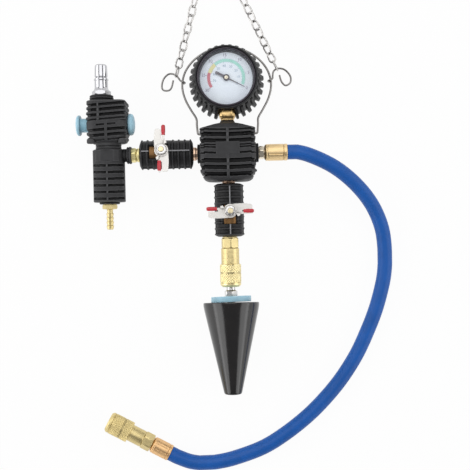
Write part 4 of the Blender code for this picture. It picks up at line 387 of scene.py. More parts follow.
def groove_at(height, grooves):
    """How deep the surface lies at each height of an array. Grooves are (start, width, depth)."""
    deep = np.zeros_like(height)
    for start, width, depth in grooves:
        t = np.clip((height - start) / width, 0, 1)
        wall = np.minimum(1, np.minimum(t, 1 - t) / 0.17)
        deep = np.maximum(deep, depth * smooth(wall))
    return deep


def levels(low, high, step):
    count = max(1, round((high - low) / step))
    return [low + (high - low) * i / count for i in range(count + 1)]


def run(radius, low, high, step):
    """A straight stretch of a profile, cut into steps."""
    return [(height, radius) for height in levels(low, high, step)]


def end_inset(distance, rounding):
    """How far a rounded end stands in, at a distance from it."""
    return rounding - sqrt(rounding ** 2 - max(0, rounding - distance) ** 2)


def spread_over(half, count, marks):
    """Shares from -1 to 1 of a half width, close together at the marks."""
    shares = list(np.linspace(-1, 1, count))
    for mark in marks:
        shares += [(mark + step) / half for step in (-0.4, -0.15, 0.15, 0.4)]
    return sorted({round(float(share), 4) for share in shares if abs(share) <= 1})


def slab_ring(half_x, half_z, corner, across, along, steps=7):
    """A rounded rectangle: points, outward normals and which side each is on (0 right, 1 front, 2 left, 3 back)."""
    rows = []
    flat_x, flat_z = half_x - corner, half_z - corner
    for side, (c, s) in enumerate(((1, 0), (0, 1), (-1, 0), (0, -1))):
        for share in across if side % 2 else along:
            rows.append((half_x * c - flat_x * s * share, half_z * s + flat_z * c * share, c, s, side))
        for i in range(1, steps):
            angle = (side + i / steps) * pi / 2
            x, z = cos(angle), sin(angle)
            rows.append((copysign(flat_x, x) + corner * x, copysign(flat_z, z) + corner * z, x, z, side + 0.5))
    rows = np.array(rows, float)
    return rows[:, :2], rows[:, 2:4], rows[:, 4]


def slab_body(rows, across, along, shape, middle=0):
    """A shell through slab rings, given as (height, half x, half z, corner) rows. A fifth value says that
    shape(height, points, sides) lifts the ring's surface."""
    rings = []
    for height, half_x, half_z, corner, *shaped in rows:
        spots, outs, sides = slab_ring(half_x, half_z, corner, across, along)
        if shaped:
            spots = spots + outs * shape(height, spots, sides)[:, None]
        rings.append([(middle + a, height, AXIS + b) for a, b in spots])
    return skin(rings)


def tube(path, radius, sides, closed=False):
    """A round wire along points, with rounded ends where it is open."""
    path = [Vector(p) for p in path]
    last = len(path) - 1
    tip = ((0.55, 0.45), (0.35, 0.8))
    side = None
    rings = []
    for i, spot in enumerate(path):
        before = path[i - 1] if i or closed else path[0]
        after = path[(i + 1) % len(path)] if i < last or closed else path[-1]
        way = (after - before).normalized()
        side = side or way.orthogonal().normalized()
        side = (side - way * side.dot(way)).normalized()
        other = way.cross(side)
        angles = [TURN * k / sides for k in range(sides)]
        around = [side * cos(angle) + other * sin(angle) for angle in angles]
        stations = [(0, 1)]
        if not closed and i == 0:
            stations = [(-off, share) for off, share in tip] + stations
        if not closed and i == last:
            stations += tip[::-1]
        for off, share in stations:
            rings.append([spot + way * (radius * off) + out * (radius * share) for out in around])
    return skin(rings, closed)


def smooth_path(points, spacing):
    """Evenly spaced points on a smooth curve through the given ones."""
    knots = [Vector(point) for point in points]
    knots = [2 * knots[0] - knots[1]] + knots + [2 * knots[-1] - knots[-2]]
    fine = []
    for before, start, end, after in zip(knots, knots[1:], knots[2:], knots[3:]):
        bend = 2 * before - 5 * start + 4 * end - after
        twist = 3 * start - before - 3 * end + after
        for t in np.arange(24) / 24:
            fine.append(0.5 * (2 * start + (end - before) * t + bend * t * t + twist * t * t * t))
    fine = np.array([*fine, knots[-2]])
    reach = np.append(0, np.cumsum(np.linalg.norm(np.diff(fine, axis=0), axis=1)))
    goals = np.linspace(0, reach[-1], max(2, round(reach[-1] / spacing)) + 1)
    return [Vector(spot) for spot in np.stack([np.interp(goals, reach, line) for line in fine.T], 1)]


def prism(outline, low, high):
    return skin([[(x, y, z) for x, y in outline] for z in (low, high)])


def rounded_outline(corners, radius, steps=4):
    """A closed outline with each corner rounded. A third value on a corner is its own radius."""
    points = [Vector(corner[:2]) for corner in corners]
    made = []
    for i, corner in enumerate(corners):
        size = corner[2] if len(corner) > 2 else radius
        made += rounded(points[i - 1], points[i], points[(i + 1) % len(points)], size, 0.48, steps)
    return made


# Hose
HOSE_ROUTE = [
    (0.0594, 0.0000, 0.0280), (0.0690, 0.0000, 0.0280), (0.0785, -0.0024, 0.0275),
    (0.0933, -0.0085, 0.0260), (0.1084, -0.0168, 0.0236), (0.1237, -0.0288, 0.0203),
    (0.1379, -0.0440, 0.0166), (0.1485, -0.0608, 0.0132), (0.1557, -0.0808, 0.0102),
    (0.1580, -0.1036, 0.0082), (0.1572, -0.1220, 0.0078), (0.1543, -0.1375, 0.0077),
    (0.1477, -0.1601, 0.0077), (0.1387, -0.1822, 0.0077), (0.1268, -0.2065, 0.0077),
    (0.1109, -0.2306, 0.0077), (0.0935, -0.2510, 0.0077), (0.0747, -0.2690, 0.0077),
    (0.0521, -0.2861, 0.0077), (0.0288, -0.2997, 0.0077), (0.0002, -0.3096, 0.0078),
    (-0.0184, -0.3133, 0.0081), (-0.0300, -0.3141, 0.0087), (-0.0373, -0.3135, 0.0092),
    (-0.0471, -0.3113, 0.0099), (-0.0589, -0.3063, 0.0108), (-0.0655, -0.3027, 0.0108),
]
HOSE_EAST, HOSE_SOUTH = 0.16535, -0.3211
HOSE_RADIUS = 0.00745
FAR_ANGLE = radians(151.5)
FAR_HEIGHT = 10.8


def make_hose():
    first, mouth = Vector(HOSE_ROUTE[0]), Vector(HOSE_ROUTE[-1])
    route = [first] + smooth_path(HOSE_ROUTE[1:-1], 0.004) + [mouth]
    east, south = HOSE_EAST - HOSE_RADIUS, HOSE_SOUTH + HOSE_RADIUS
    route = [Vector((min(p.x, east), max(p.y, south), p.z)) for p in route]
    curve = bpy.data.curves.new("hose_cover", "CURVE")
    fill(curve, dimensions="3D", bevel_depth=HOSE_RADIUS, bevel_resolution=10, use_fill_caps=True)
    line = curve.splines.new("POLY")
    line.points.add(len(route) - 1)
    for spot, point in zip(line.points, route):
        spot.co = (*point, 1)
    line.use_smooth = True
    curve.materials.append(HOSE_BLUE)
    hose = add("refill_hose", curve)
    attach(hose, "kit")
    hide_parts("hose")
    far = make_hose_ends()


def crimp(low, high, dents, depth):
    """A relief of lengthwise grooves at angles in degrees, as a crimping tool leaves them."""
    def relief(height, angles, radii):
        cut = np.zeros_like(radii)
        for dent in dents:
            off = np.abs((np.degrees(angles) - dent + 180) % 360 - 180)
            cut = np.maximum(cut, np.clip(1 - off / 6.5, 0, 1))
        return radii - depth * band(height, low, high, 1) * smooth(cut)
    return relief


def knurl(bands, count, depth):
    """A relief of diamond points between heights, cut into a sleeve."""
    def relief(height, angles, radii):
        share = sum(band(height, low, high, 0.6) for low, high in bands)
        turn, rise = angles * count / TURN, height * count / (TURN * 10.5)
        cut = np.maximum(np.abs((turn + rise) % 1 - 0.5), np.abs((turn - rise) % 1 - 0.5)) * 2
        return radii - depth * share * np.clip((cut - 0.45) / 0.55, 0, 1)
    return relief


def sleeve_shell(start, length, radius, wide, narrow, step):
    """A knurled coupler sleeve from its start: two knurled bands, a ring between them and a chamfered nose."""
    end, ring = start + length, start + length / 3

    def cuts(base, *steps):
        return [(base + rise, radius - cut) for rise, cut in steps]
    outer = (cuts(start, (0, 0.6), (0.4, 0.1), (1, 0.1)) + run(radius, start + 1.2, ring - 0.2, 0.22)
        + cuts(ring, (0.2, 0), (0.45, 0.5), (0.7, 0.5), (0.8, 0.05), (1.3, 0.05), (1.45, 0.5), (1.7, 0.5))
        + run(radius, ring + 1.9, end - 4.9, 0.22) + cuts(end, (-4.6, 0), (-4.3, 0.5), (-3.9, 0.5), (-3.6, 0.1),
        (-1.9, 0.15), (-0.6, 1.3), (0, 1.9)))
    inner = [(end, narrow + 0.3), (end - 0.5, narrow), (step, narrow), (step, wide), (start, wide)]
    cut = knurl([(start + 1.2, ring - 0.1), (ring + 1.9, end - 5)], 26, 0.45)

    def relief(height, angles, radii):
        return cut(height, angles, radii) if radii[0] > wide + 0.5 else radii
    return hollow(outer + inner, 208, relief)


def make_hose_ends():
    profile = eased([(36.2, 4.8), (36.2, 6.4), (37.7, 8.2, 0.8), (38.8, 8.3), (39.2, 8.1), (39.5, 8.1), (39.9, 8.3)])
    profile += run(8.3, 40.4, 54.7, 0.5)
    profile += eased([(55.1, 8.3), (55.25, 7.7), (55.65, 7.7), (55.8, 8.35), (58.7, 8.35), (59.1, 8)], 0.2)
    profile += [(59.1, 7.5), (58.6, 7.4), (58.5, 4.8)]
    piece("near_ferrule", hollow(profile, 120, crimp(41.2, 54.3, (19, 139, 259), 0.9)), FERRULE, "hose_ferrule_near",
        EAST)
    profile = ([(17, 6.2), (30.4, 6.2), (30.6, 5.6)] + hex_profile(30.8, 35.8, 12, 12) + [(35.8, 4.3), (58, 4.3)])
    piece("hose_end_nipple", lathe(profile, 72), PALE_BRASS, "hose_nipple", EAST)

    run_way = (cos(FAR_ANGLE), sin(FAR_ANGLE), 0)
    mouth = Vector(HOSE_ROUTE[-1]) / TO_METRES
    far = toward((mouth.x + 0.3 * run_way[0], mouth.y + 0.3 * run_way[1], FAR_HEIGHT), run_way)
    profile = [(0.6, 4.8), (0.5, 7.4), (0, 7.5)] + eased([(0, 8), (0.4, 8.35), (2.4, 8.35), (2.6, 7.75), (3.1, 7.75),
        (3.3, 8.3)], 0.2)
    profile += run(8.3, 3.8, 16.6, 0.5)
    profile += eased([(17, 8.3), (17.3, 8.05), (17.7, 8.05), (18, 8.3), (18.7, 8.3, 0.8), (20.3, 6.6), (20.3, 4.8)])
    ferrule = piece("far_ferrule", hollow(profile, 180, crimp(4, 16.4, range(35, 360, 45), 0.35)), FERRULE_FAR,
        "hose_ferrule_far", far)
    profile = ([(8, 4.3), (20.5, 4.3), (20.6, 7)] + hex_profile(20.6, 30.9, 15.8, 22)
        + eased([(31, 7.9), (31.5, 8.4), (50.2, 8.4), (50.4, 7.1), (66.2, 7.1), (66.6, 6.7)])
        + [(66.6, 5.5), (66.2, 5.2), (52, 5.2), (52, 3.4), (8, 3.4)])
    body = piece("far_coupler_body", hollow(profile, 72), BRASS_FAR_SHADED, "hose_coupler_body", far)
    sleeve = piece("far_coupler_sleeve", sleeve_shell(45.6, 25, 10.75, 8.7, 7.4, 60), KNURLED_FAR_SHADED,
        "hose_coupler_sleeve", far, "hose_sleeve")
    return [ferrule, body, sleeve]


# Manifold and its nipples
def make_manifold():
    across = spread_over(22.2, 33, (-11.7, -1.4, 1.4, 11.7))
    along = np.linspace(-1, 1, 17)
    grooves = [(-24.3, 4, 3), (-17.9, 4.2, 3.2), (-11.5, 4.4, 3.2), (-2.8, 1.9, 1.7), (2.8, 1.5, 1.2),
        (5.1, 1.3, 1.2), (8, 4, 3), (14.1, 4.2, 3.2), (19.9, 1.8, 1.4)]
    bottom, top = -27.9, 22.4

    def shape(height, spots, sides):
        x = spots[:, 0]
        front, back = sides == 1, sides == 3
        deep = groove_at(height - 0.0016 * x ** 2 * front, grooves)
        pad = (front * band(x, -11.7, 11.7) * band(height, -2.9, 9.2) + back * band(x, -11.7, 11.7) * band(height,
            -13.2, 13.2))
        ridge = (front | back) * band(x, -1.4, 1.4)
        reach = 0.4 + 0.6 * band(x, -26.4, 26.4, 1.2)
        lift = -deep * reach * (1 - np.maximum(pad, ridge)) + 0.3 * pad + 0.25 * ridge * (1 - pad)
        for spot_x, spot_y in ((-17.7, 16.3), (16.9, 16.6)):
            gap = np.hypot(x - spot_x, height - spot_y)
            lift = np.where(front, lift + 2 * np.exp(-(gap / 1.3) ** 2), lift)
        return lift

    rows = [(bottom + rise, size, size, size * 0.7) for rise, size in ((-0.05, 5.5), (0, 8), (0.2, 13))]
    for height in levels(bottom, top, 0.3):
        inset = end_inset(height - bottom, 10.5) * 0.9
        rows.append((height, 27.3 - inset, 27.6 - inset, 5 + 0.35 * inset, True))
    rows += [(22.7, 27, 27.4, 5), (23, 26.6, 27.2, 4.5), (23.8, 24.2, 26.4, 4), (24.8, 20.6, 25.4, 4),
        (25.8, 17.6, 24.2, 4), (26.8, 14.6, 22.6, 4), (27.8, 11.6, 20, 4), (28.6, 9.4, 16.5, 4), (29.2, 8.4, 12.5, 4),
        (30.2, 7.6, 9, 5), (32.1, 6.8, 7, 5)]
    shells = [slab_body(rows, across, along, shape)]
    collar = eased([(22, 9.7), (28.4, 9.7), (28.6, 9.2), (29.2, 9.2), (29.4, 9.7), (30.2, 9.5, 0.5), (30.5, 8.6),
        (30.5, 7.2), (28.6, 7), (22, 7)], 0.25)
    shells += [put(hollow(collar), EAST), put(hollow(collar), WEST)]
    nib = eased([(24.5, 0.3), (24.5, 1.6), (27.4, 1.3), (28.3, 0.8), (28.3, 0.2)], 0.4)
    shells.append(put(lathe(nib, 20), toward((0, -18.6, 40), (1, 0, 0))))
    piece("manifold_boot_rubber", shells, RUBBER, "manifold_boot", sharp=50)


def make_nipples():
    for name, far, ring_end, finish, way in (("left", 46.6, 37.6, RED_BRASS, WEST),
            ("lower", 39.3, 30.3, RED_BRASS_Y, SOUTH)):
        near, ring = 17.5, 26.5
        width = ring_end - ring
        steps = [(ring + share * width, radius) for share, radius in ((0, 6.3), (0, 6.7), (0.3, 6.7), (0.36, 6),
            (0.46, 6), (0.52, 6.7), (0.72, 6.7), (0.78, 6.1), (0.88, 6.1), (1, 6.6), (1, 6.3))]
        profile = eased([(near, 3.5), (near, 6.3)] + steps + [(far, 6.3), (far, 3.5)], 0.25)
        piece(name + "_nipple", hollow(profile), finish, "nipple_" + name, way)


# Ball valves
BOOT_LENGTH = 53.2
PLATE_LOW, PLATE_HIGH = 16.3, 17.8
# One arm of the butterfly lever: a plate, a notch with its stop tab, and the prong that holds the grip.
LEVER_WING = [(3.4, 6.1, 0.8), (2.9, 22.2, 0.9), (1, 22.2, 0.9), (0.9, 12, 0.9), (-0.4, 11.6, 0.9), (-0.7, 21.5, 1.2),
    (-6.2, 21.9, 1.8), (-7.4, 14, 4), (-6.9, 2.5, 2)]
# Along a grip: the distance from the stem and the share of its full girth.
GRIP_STATIONS = [(12.9, 0.55), (13.05, 0.8), (13.5, 0.95), (14.4, 0.86), (15.2, 0.9), (16.2, 1), (19.6, 1),
    (21.6, 0.98), (22.6, 0.86), (23.1, 0.66), (23.4, 0.34)]


def make_valve(tag, stem, pipe_angle, lean, start, grips):
    local = Matrix.Translation(stem) @ spin(pipe_angle, "Z") @ spin(lean, "X")
    along = toward((0, 0, 0), (1, 0, 0))
    end = start + BOOT_LENGTH
    crests = [edge + way * (2.2 + 5.9 * i) for i in range(4) for edge, way in ((start, 1), (end, -1))]

    def boot_relief(height, angles, radii):
        side, front = radii * np.sin(angles), radii * np.cos(angles)
        ridge = np.maximum(band(side, -0.9, 0.9, 0.6) * (front > 0), band(np.abs(front), -1, 1.7, 1.2) * 0.55)
        window = band(height, -12.8, 6.2, 1) * band(side, -8, 8, 1) * (front > 0)
        crest = max(exp(-((height - c) / 1.05) ** 6) for c in crests)
        plain = band(height, -9.5, 9, 3)
        radii = radii - 1.5 * (1 - max(crest, 0.5 * plain)) * (1 - ridge)
        return radii * (1 - window) + np.minimum(radii, 10.9) * window

    mouth = [(1.2, 6.9), (0.35, 7.2), (0, 8), (0, 10.8), (0.2, 12), (0.6, 13), (1.2, 13.9), (1.9, 14.6)]
    profile = [(start + rise, radius) for rise, radius in mouth]
    profile += run(14.9, start + 2.2, end - 2.2, 0.34)
    profile += [(end - rise, radius) for rise, radius in mouth[::-1]]
    piece(tag + "_boot_rubber", lathe(profile, 132, boot_relief), VALVE_RUBBER, tag + "_boot",
        local @ along, sharp=50)
    seams = []
    for low, high in ((start + 2.6, -12.9), (6.6, end - 2.8)):
        outline = rounded_outline([(low, -0.6), (high, -0.6), (high, 0.6), (low, 0.6)], 0.55)
        seams.append(prism(outline, 14.3, 15.1))
    # The seams are coloured much lighter than the boot: a painted highlight along them.
    piece(tag + "_boot_seam", seams, RIDGE_HIGHLIGHT_RUBBER, (), local, bevel=0.2)

    body = [(-22.4, 6.7)] + hex_profile(-22.4, -12.6, 21, 0) + [(-12.4, 11.5), (-12.2, 11.5)]
    body += run(11.5, -11.6, 16.8, 1.4) + [(17.2, 11.5)] + hex_profile(17.5, 27.4, 21, 0)
    body += [(27.4, 6.7), (18.6, 6.6), (18.4, 4), (-13.2, 4), (-13.4, 6.6)]
    bonnet = eased([(9.5, 3), (9.5, 7.4), (12, 7.4), (12.6, 6.4), (14.7, 6.2), (14.7, 3)], 0.4)
    shells = [put(hollow(body, 72), along), hollow(bonnet)]
    piece(tag + "_body_brass", shells, BRASS_SHADED, tag + "_body", local)

    lever_body = "lever_" + tag[-1]
    outline = rounded_outline(LEVER_WING + [(-p[0], -p[1], *p[2:]) for p in LEVER_WING], 0.5)
    hub = eased([(PLATE_LOW - 0.1, 3.1), (PLATE_LOW - 0.1, 6.9), (PLATE_HIGH + 0.1, 6.9), (PLATE_HIGH + 0.5, 6.4),
        (PLATE_HIGH + 0.5, 5.6), (PLATE_HIGH + 0.15, 5.3), (PLATE_HIGH + 0.15, 3.1)], 0.2)
    tab = prism(rounded_outline([(2.4, 5.4), (5.4, 7.4), (4.6, 9.8), (2.6, 9.6)], 0.5), PLATE_LOW + 0.2,
        PLATE_HIGH + 1.2)
    shells = [prism(outline, PLATE_LOW, PLATE_HIGH), hollow(hub), tab, put(tab, spin(180, "Z"))]
    piece(tag + "_lever_plate", shells, NICKEL, tag + "_lever", local, lever_body, bevel=0.3)
    low = PLATE_HIGH + 0.35
    nut = [(low, 2.9)] + hex_profile(low, low + 3.1, 9.5, 15) + [(low + 3.1, 2.9)]
    piece(tag + "_nut", hollow(nut, 72), BRIGHT_STEEL, tag + "_lever_nut", local, lever_body)
    profile = eased([(8.3, 1), (8.3, 2.7), (15, 2.7), (15, 4.2), (16, 4.2), (16, 2.7), (22, 2.7, 0.5),
        (22.5, 2.2, 0.4), (22.5, 0.3)], 0.2)
    piece(tag + "_stem_brass", lathe(profile, 48), STEM_BRASS, tag + "_stem", local, lever_body)

    middle = (PLATE_LOW + PLATE_HIGH) / 2
    for letter, side, (aside, further) in zip("ab", (1, -1), grips):
        rings = []
        for height, share in GRIP_STATIONS:
            ring = []
            for k in range(28):
                c, s = cos(TURN * k / 28), sin(TURN * k / 28)
                x = copysign(abs(c) ** 0.8, c) * 2.05 * share
                z = copysign(abs(s) ** 0.8, s) * 1.8 * share
                ring.append((side * (aside + x), side * (height + further), middle + z))
            rings.append(ring)
        piece(tag + "_grip_vinyl_" + letter, skin(rings), RED, tag + "_grip_" + letter, local,
            lever_body)


# Venturi
TAIL_X, HEAD_X, INLET_X, SPOOL_Y = -119.2, -119.6, -125.2, 30.8
BARREL_SQUASH = 11.8 / 19


def make_head():
    middle, half_wide, half_deep = -119, 20, 19.4
    across = spread_over(12, 27, (-9, -6.2, -1.4, 1.4, 9))
    along = np.linspace(-1, 1, 13)
    low, high = 12.3, 53.8
    grooves = [(14, 1.7, 1), (17.8, 3.1, 2.6), (23, 3.1, 2.6), (34.1, 1.8, 1.3), (37.8, 3.2, 2.6), (42.9, 3.2, 2.6),
        (47.9, 2.9, 2.4)]
    short = [(28.7, 1.8, 1.6)]

    def shape(height, spots, sides):
        x = spots[:, 0]
        front = (sides == 1) | (sides == 3)
        slant = height - 0.066 * x * (spots[:, 1] > 0)
        deep = np.maximum(groove_at(slant, grooves), groove_at(slant, short) * (sides == 1) * band(x, -9.2, 9.2))
        centre = -7.6 if height > 33 else 0
        ridge = front * band(x, centre - 1.4, centre + 1.4)
        reach = np.where(x > 0, 0.3 + 0.7 * band(x, -60, 18.8, 1.5), np.where(front, 1, 0.55))
        return -deep * (1 - ridge) * reach + 0.2 * ridge

    rows = [(low + 0.1, 10, 10, 7)]
    for height in levels(low, high - 1.2, 0.3):
        inset = end_inset(height - low, 6.5) * 0.85
        waist = 0.9 * exp(-((height - 17.6) / 1.6) ** 2)
        slim = 0.05 * max(0, height - 36)
        rows.append((height, half_wide - inset - waist - slim, half_deep - inset, 8.5 if height < 34 else 6, True))
    for rise, inset in ((-0.8, 0.95), (-0.4, 1.3), (-0.1, 1.9), (0, 2.6), (0.15, 5), (0.2, 9)):
        rows.append((high + rise, half_wide - inset, half_deep - inset, 6))
    inlet = toward((INLET_X, 0, AXIS), (0, 1, 0))
    neck = eased([(40, 12), (55.2, 12), (55.5, 11.3), (56.2, 11.3), (56.5, 12), (57.9, 12), (58.2, 11.4),
        (58.7, 11.4), (59, 11.9), (59.9, 11.7, 0.7), (60.4, 10.6), (60.4, 8.6), (59.6, 8.3), (40, 8.3)], 0.3, 4)
    spool = toward((HEAD_X, SPOOL_Y, AXIS), (1, 0, 0))
    barrel = eased([(-16, 13), (-16, 17.2), (-15.2, 18), (15.6, 18.6), (16.4, 17.8), (16.4, 13)], 0.6)
    points, faces = lathe(barrel, 72)
    points[:, 1] *= BARREL_SQUASH
    boss = lathe(eased([(10.9, 0.6), (10.9, 3.4), (11.6, 4.1), (14.4, 4.2), (15.6, 3.6)], 0.6), 32)
    shells = [slab_body(rows, across, along, shape, middle), put(hollow(neck, 72), inlet),
        put((points, faces), spool)]
    shells += [put(boss, toward((middle + x, 0, 43.4), (0, 1, 0))) for x in (-15.2, 15.4)]
    piece("head_boot_rubber", shells, RUBBER, "head_boot", sharp=48)

    left = [(-31.2, 0.3), (-31.1, 5.5), (-30.6, 8.8), (-29.6, 10.2, 0.9), (-28, 10.3, 0.6), (-27, 9.8, 0.5),
        (-26.9, 7.8, 0.5), (-26.3, 6.9, 0.4), (-14, 6.8), (-14, 3.8), (-25, 3.8), (-25, 0.3)]
    right = [(13.5, 3.8), (13.5, 6.2), (20.4, 6.2), (20.6, 9.2, 0.6), (21.4, 10.6, 0.8), (23.6, 10.9, 0.8),
        (25.7, 9.6, 1.4), (26.8, 6, 1.5), (27.1, 2), (27.1, 0.3)]
    for name, button in (("left", left), ("right", right)):
        button = lathe(eased(button, 0.4, 4), 64)
        piece(name + "_button", button, BLUE, "button_" + name, spool, "shuttle")

    plug = ([(52.3, 3.2), (52.3, 5.8), (60.65, 5.8), (60.7, 8)] + hex_profile(60.7, 65, 16.5, 30, 1)
        + eased([(65.2, 7.9), (67.6, 6.7, 1), (75, 6.6, 0.2), (75.4, 7.2), (77, 7.2), (77.3, 5.7), (78.5, 5.6),
        (78.9, 6.4), (81, 6.45), (84.5, 6.35), (90, 6.1), (91.1, 5.2)], 0.3)
        + [(91.1, 3.7), (90.6, 3.2), (89.8, 3.2)])
    piece("chrome_inlet_plug", hollow(plug, 72), CHROME, "inlet_plug", inlet)


def make_tail():
    tail, side = toward((TAIL_X, 0, AXIS), (0, 1, 0)), toward((TAIL_X, 0, AXIS), (1, 0, 0))
    grooves = [(-11.9 - 6.55 * i, 2.4, 1.9) for i in range(6)]

    def relief(height, angles, radii):
        if radii[0] < 12.5:
            return radii
        across, front = radii * np.sin(angles), radii * np.cos(angles)
        ridge = band(across, -1, 1, 0.5) * (front > 0)
        flank = band(np.abs(front), -1, 4.2, 1)
        radii = radii - groove_at(height - 0.0035 * across ** 2, grooves) * (1 - np.maximum(ridge, flank))
        pad = (front > 0) * band(across, -11.4, 11.4, 0.5) * band(height, -6.6, 4.9, 0.6)
        flat = 15.1 / np.maximum(np.cos(angles), 0.3)
        return radii * (1 - pad) + np.minimum(flat, 16.5) * pad

    profile = [(-48.4, 7.2), (-48.4, 9.4), (-48.1, 10), (-47.6, 10.1), (-46.5, 10.1), (-46.4, 13.5), (-46.3, 15.3),
        (-46, 15.7), (-45.5, 15.9)]
    profile += run(15.9, -45.2, 5.2, 0.36) + [(5.6, 15.2), (5.9, 14.5), (6.1, 13.6), (6.1, 12.8)]
    flange = eased([(8, 6.5), (17.9, 6.5, 0.4), (18.4, 8.2, 0.5), (19.6, 8.6), (19.9, 8), (20.5, 8), (20.8, 8.7),
        (22.6, 8.5), (22.9, 7.9), (22.9, 5.4), (8, 5.4)], 0.25)
    neck = eased([(5, 12.8), (8.4, 12.8), (8.7, 12.4), (9.3, 12.4), (9.6, 12.8), (14, 12.8)], 0.2)
    shells = [put(lathe(profile, 132, relief), tail), put(hollow(flange), side), put(lathe(neck), tail)]
    piece("tail_boot_rubber", shells, RUBBER, "tail_boot", sharp=48)

    nose, top = -73.7, -48.7
    low, pitch = top - 4.6, 4.1
    profile = [(nose, 1.9), (nose, 2.6), (nose + 0.4, 3)]
    for i in range(4):
        base = nose + i * pitch
        profile += [(base + 0.5, 3), (base + pitch * 0.84, 3.7), (base + pitch * 0.92, 3.75),
            (base + pitch * 0.97, 3.4), (base + pitch, 2.9)]
    profile += [(low - 0.6, 3), (low - 0.2, 3.3), (low - 0.02, 4.4)] + hex_profile(low, top, 13, 30)
    profile += [(top + 0.05, 6.7), (-37.7, 6.7), (-37.7, 1.9)]
    piece("tail_barb", hollow(profile, 72), BRASS_Y, "barb_fitting", tail)

    profile = [(16.5, 3), (16.5, 4.3), (22.6, 4.3), (22.7, 5.8)] + hex_profile(22.7, 27.6, 13, 12, 1)
    profile += eased([(27.6, 6.2), (27.9, 5.9), (28.2, 6.4, 0.3), (28.9, 6.9), (31, 6.9), (31.5, 6.4), (40.4, 6.3)])
    profile += [(40.4, 3)]
    piece("side_nipple_brass", hollow(profile, 72), BRASS_X, "side_nipple", side)


# Gauge
GAUGE_Y = 72.9
FINS = 32
DIAL_FIRST, DIAL_SWEEP = -27.7, 240
MARK_LOW, MARK_HIGH = 43.38, 43.45


def make_gauge():
    gauge = Matrix.Translation((0, GAUGE_Y, 0))
    shares = np.array([0, 0.08, 0.13, 0.17, 0.21, 0.3, 0.42, 0.54, 0.6, 0.64, 0.68, 0.73, 0.82, 0.92])
    tooth = np.array([0, 0, 0.12, 0.75, 1, 1, 1, 1, 1, 0.75, 0.12, 0, 0, 0])
    angles = ((np.arange(FINS)[:, None] + shares[None, :]) * (TURN / FINS)).reshape(-1)
    tooth = np.tile(tooth, FINS)
    stem = 1 - band(np.abs((angles + pi / 2 + pi) % TURN - pi), -1, radians(13.5), 0.02)
    rings = []
    stations = [(14, 18.2, 0), (14, 26, 0), (14, 33, 0), (14.05, 34.1, 1.6), (14.4, 34.2, 2.9), (15.4, 34.3, 3.2),
        (18, 34.3, 3.2), (23, 34.3, 3.2), (28, 33.4, 2.7), (34, 32.4, 2.2), (39, 31.8, 1.6), (42.2, 31.5, 1.1),
        (43, 31.4, 0.9), (43.4, 31.3, 0.5), (43.6, 31.2, 0), (44.2, 31.1, 0), (45.6, 31.2, 0), (46, 30.95, 0),
        (46.4, 31.2, 0), (48.6, 31.2, 0), (49.3, 31, 0), (49.8, 30.6, 0), (50, 30.1, 0), (49.9, 29.6, 0),
        (49.6, 29.35, 0), (46, 29.3, 0), (16.6, 29.3, 0), (16.6, 18.2, 0)]
    for height, radius, rise in stations:
        radii = radius + rise * tooth * stem * (1 + 0.4 * np.clip(-np.sin(angles), 0, 1))
        if 30 < radius and height < 43:
            radii = radii - (1 - stem) * 2.4
        rings.append(ring_at(height, angles, radii))
    piece("gauge_boot_rubber", skin(rings, looped=True), GAUGE_RUBBER, "gauge_boot", gauge, sharp=40)

    bezel = eased([(46.4, 27.8), (46.4, 28.95), (49.2, 28.95), (49.9, 28.2, 0.5), (49.9, 27.4, 0.4),
        (49.3, 26.9, 0.4), (48, 26.8), (43.6, 25.8), (43.6, 27.2), (46.4, 27.8)], 0.25, 4)
    points, faces = hollow(bezel, 96)
    x, y, z = points.T
    points[:, 1] -= np.clip((48 - z) / 4.4, 0, 1) * np.clip(28 - np.hypot(x, y), 0, 1)
    piece("gauge_bezel_ring", (points, faces), BLACK_METAL, "gauge_bezel", gauge)
    lens = eased([(46.55, 0.3), (46.55, 26.3), (47.95, 26.5), (47.95, 0.3)], 0.2)
    piece("gauge_lens_clear", lathe(lens, 96), GLASS, "gauge_lens", gauge)
    dial = eased([(42.6, 1.6), (42.6, 27.35), (43.4, 27.35), (43.4, 1.6)], 0.12)
    piece("gauge_dial", hollow(dial, 128), DIAL_WHITE, "dial_plate", gauge)
    make_dial_marks(gauge)
    make_pointer(gauge)

    rings = []
    for height, size, corner in ((16, 4.9, 4.85), (32.4, 4.9, 4.85), (32.4, 6, 2.4), (32.6, 6.4, 2.2), (34, 6.6, 2),
            (36.2, 7.9, 2.9), (36.5, 8, 2.9), (40.6, 8, 2.9), (42.4, 7.9, 2.9), (43.2, 6.9, 2.6), (43.2, 4.9, 4.85),
            (50, 4.9, 4.85)):
        shares = [-1, -0.33, 0.33, 1]
        rings.append([(a, height, AXIS + b) for a, b in slab_ring(size, size, corner, shares, shares, 2)[0]])
    piece("gauge_stem_socket", skin(rings), SOCKET_BRASS, "gauge_socket", bevel=0.25, sharp=22)


def arc_strip(inner, outer, start, end):
    """A flat ring sector on the dial, angles in degrees."""
    count = max(2, int((end - start) / 3))
    rings = []
    for i in range(count + 1):
        angle = radians(start + (end - start) * i / count)
        c, s = cos(angle), sin(angle)
        rings.append([(r * c, r * s, z) for r, z in ((inner, MARK_LOW), (outer, MARK_LOW), (outer, MARK_HIGH),
            (inner, MARK_HIGH))])
    return skin(rings)


